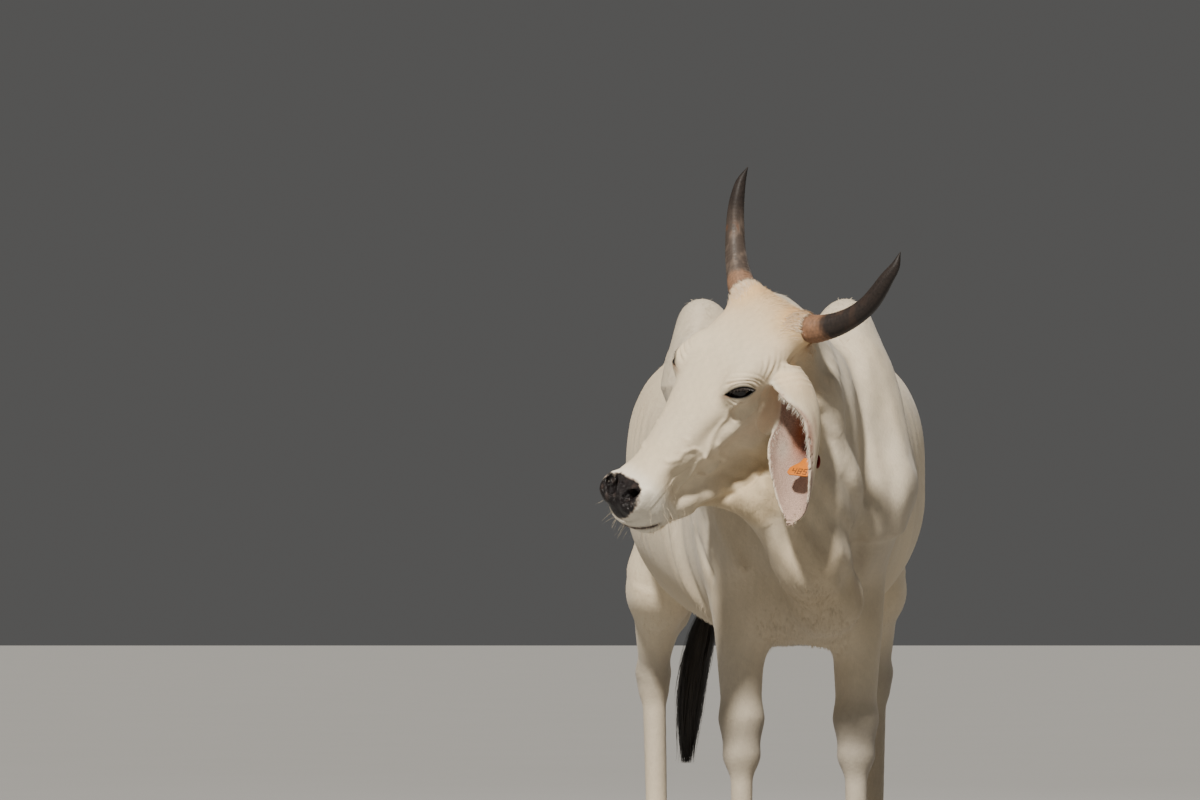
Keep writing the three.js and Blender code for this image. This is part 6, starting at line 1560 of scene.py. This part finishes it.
rows = [(0.0066, 0.0112), (0.0069, 0.0130), (0.0078, 0.0139), (0.0088, 0.0136), (0.0094, 0.0120), (0.0096, 0.0080), (0.0093, 0.0060), (0.0092, 0.0)]
X = np.stack([p0 + out_dir * l_ + max(r_, 1e-5) * (np.cos(an)[:, None] * su + np.sin(an)[:, None] * sv) for l_, r_ in rows]).reshape(-1, 3)
idx = np.arange(len(rows) * 32).reshape(len(rows), 32)
q = np.stack([idx[:-1], np.roll(idx, -1, 1)[:-1], np.roll(idx, -1, 1)[1:], idx[1:]], -1).reshape(-1, 4)
V_ = np.concatenate([X, [p0 + out_dir * 0.0066]])
RED = plastic("button_red", tuple(srgb(0.50, 0.10, 0.085)), tuple(srgb(0.26, 0.06, 0.06)), 0.40)
bt = make("tag_button", V_, [q, np.stack([np.roll(idx[0], -1), idx[0], np.full(32, len(V_) - 1)], 1)], RED)
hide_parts("ear_tag_button")

# ---------------------------------------------------------------- tail switch: a core and many locks
SWL = [[-0.128, 1.496, 0.700], [-0.134, 1.496, 0.665], [-0.148, 1.494, 0.600], [-0.165, 1.490, 0.520], [-0.175, 1.486, 0.440], [-0.180, 1.484, 0.370], [-0.183, 1.482, 0.318]]
sw = curve([0, 0.04, 0.14, 0.42, 0.68, 0.88, 1], [0.0075, 0.0085, 0.019, 0.026, 0.022, 0.012, 0.003])
V_, q, cap, t, an, L = tube(SWL, np.array([0, 1.0, 0]), lambda t, an, L: sw(t / L) * (1 + 0.10 * np.sin(7 * an + 8 * t / L) + 0.06 * np.sin(13 * an)) + 0 * an, 90, 48)
LOCK = tuft_material("switch_hair", 0.42, 0.05)
core = make("switch_core", V_, [q, cap], LOCK, colour=np.tile(srgb(0.085, 0.070, 0.068), (len(V_), 1)))
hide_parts("tail_switch")
k = 1500
Lw = np.array(SWL); dd = np.concatenate([[0], np.cumsum(np.linalg.norm(np.diff(Lw, axis=0), axis=1))]); fx3 = [curve(dd, Lw[:, i]) for i in range(3)]
st = RNG.uniform(0.0, 0.66, k) ** 0.85 * dd[-1]; an_ = RNG.uniform(0, 2 * np.pi, k); segs = 8
ll = np.minimum(RNG.uniform(0.10, 0.24, k), dd[-1] * 1.0 - st + 0.012)
vs, cs = [], []; wob = RNG.normal(size=(k, 2)) * 0.006; ph_ = RNG.uniform(0, 6.28, k); wd = RNG.uniform(0.0016, 0.0034, k)
for i, t_ in enumerate(np.linspace(0, 1, segs + 1)):
    d_ = np.minimum(st + ll * t_, dd[-1]); over = np.maximum(st + ll * t_ - dd[-1], 0)
    ctr_ = np.stack([g(d_) for g in fx3], 1) - np.array([0, 0, 1.0]) * over[:, None] * 0.5
    r_ = sw(d_ / dd[-1]) * (0.85 + 0.30 * np.sin(np.pi * min(t_ * 1.1, 1))) + 0.0015
    o = np.stack([np.cos(an_), np.sin(an_) * 0.9, 0 * an_], 1)
    wv = np.stack([wob[:, 0], wob[:, 1], 0 * an_], 1) * t_ + np.stack([np.cos(ph_ + 5 * t_), np.sin(ph_ + 5 * t_), 0 * ph_], 1) * 0.0018 * t_
    p_ = ctr_ + o * r_[:, None] + wv
    W = np.stack([-np.sin(an_), np.cos(an_), 0 * an_], 1); ww = (wd * 0.5 * max(0.0, 1 - t_ ** 2.2))[:, None]
    cc = np.tile(srgb(0.10, 0.085, 0.082), (k, 1)) * (0.7 + 0.6 * (wd[:, None] - 0.0016) / 0.0018)
    vs += [p_ - W * ww, p_ + W * ww] if i < segs else [p_]; cs += [cc, cc] if i < segs else [cc]
kk = len(vs); base = (np.arange(k) * kk)[:, None]
quads = [base + np.array([[2 * i, 2 * i + 1, 2 * i + 3, 2 * i + 2]]) for i in range(segs - 1)]; tri_ = base + np.array([[2 * segs - 2, 2 * segs - 1, 2 * segs]])
uvr_ = np.stack([an_ / 6.2832 * 0.98 + 0.01, st / dd[-1] * 0.98 + 0.01], 1)
pat = np.stack([np.where(np.arange(kk) % 2 == 0, -1, 1) * 0.0013, (np.arange(kk) // 2) / (kk // 2) * 0.0026 - 0.0013], 1)
ob = make("switch_locks", np.stack(vs, 1).reshape(-1, 3), [*quads, tri_], LOCK, colour=np.stack(cs, 1).reshape(-1, 3), uv=np.clip((uvr_[:, None] + pat[None]).reshape(-1, 2), 0, 1))

POOL.shutdown()
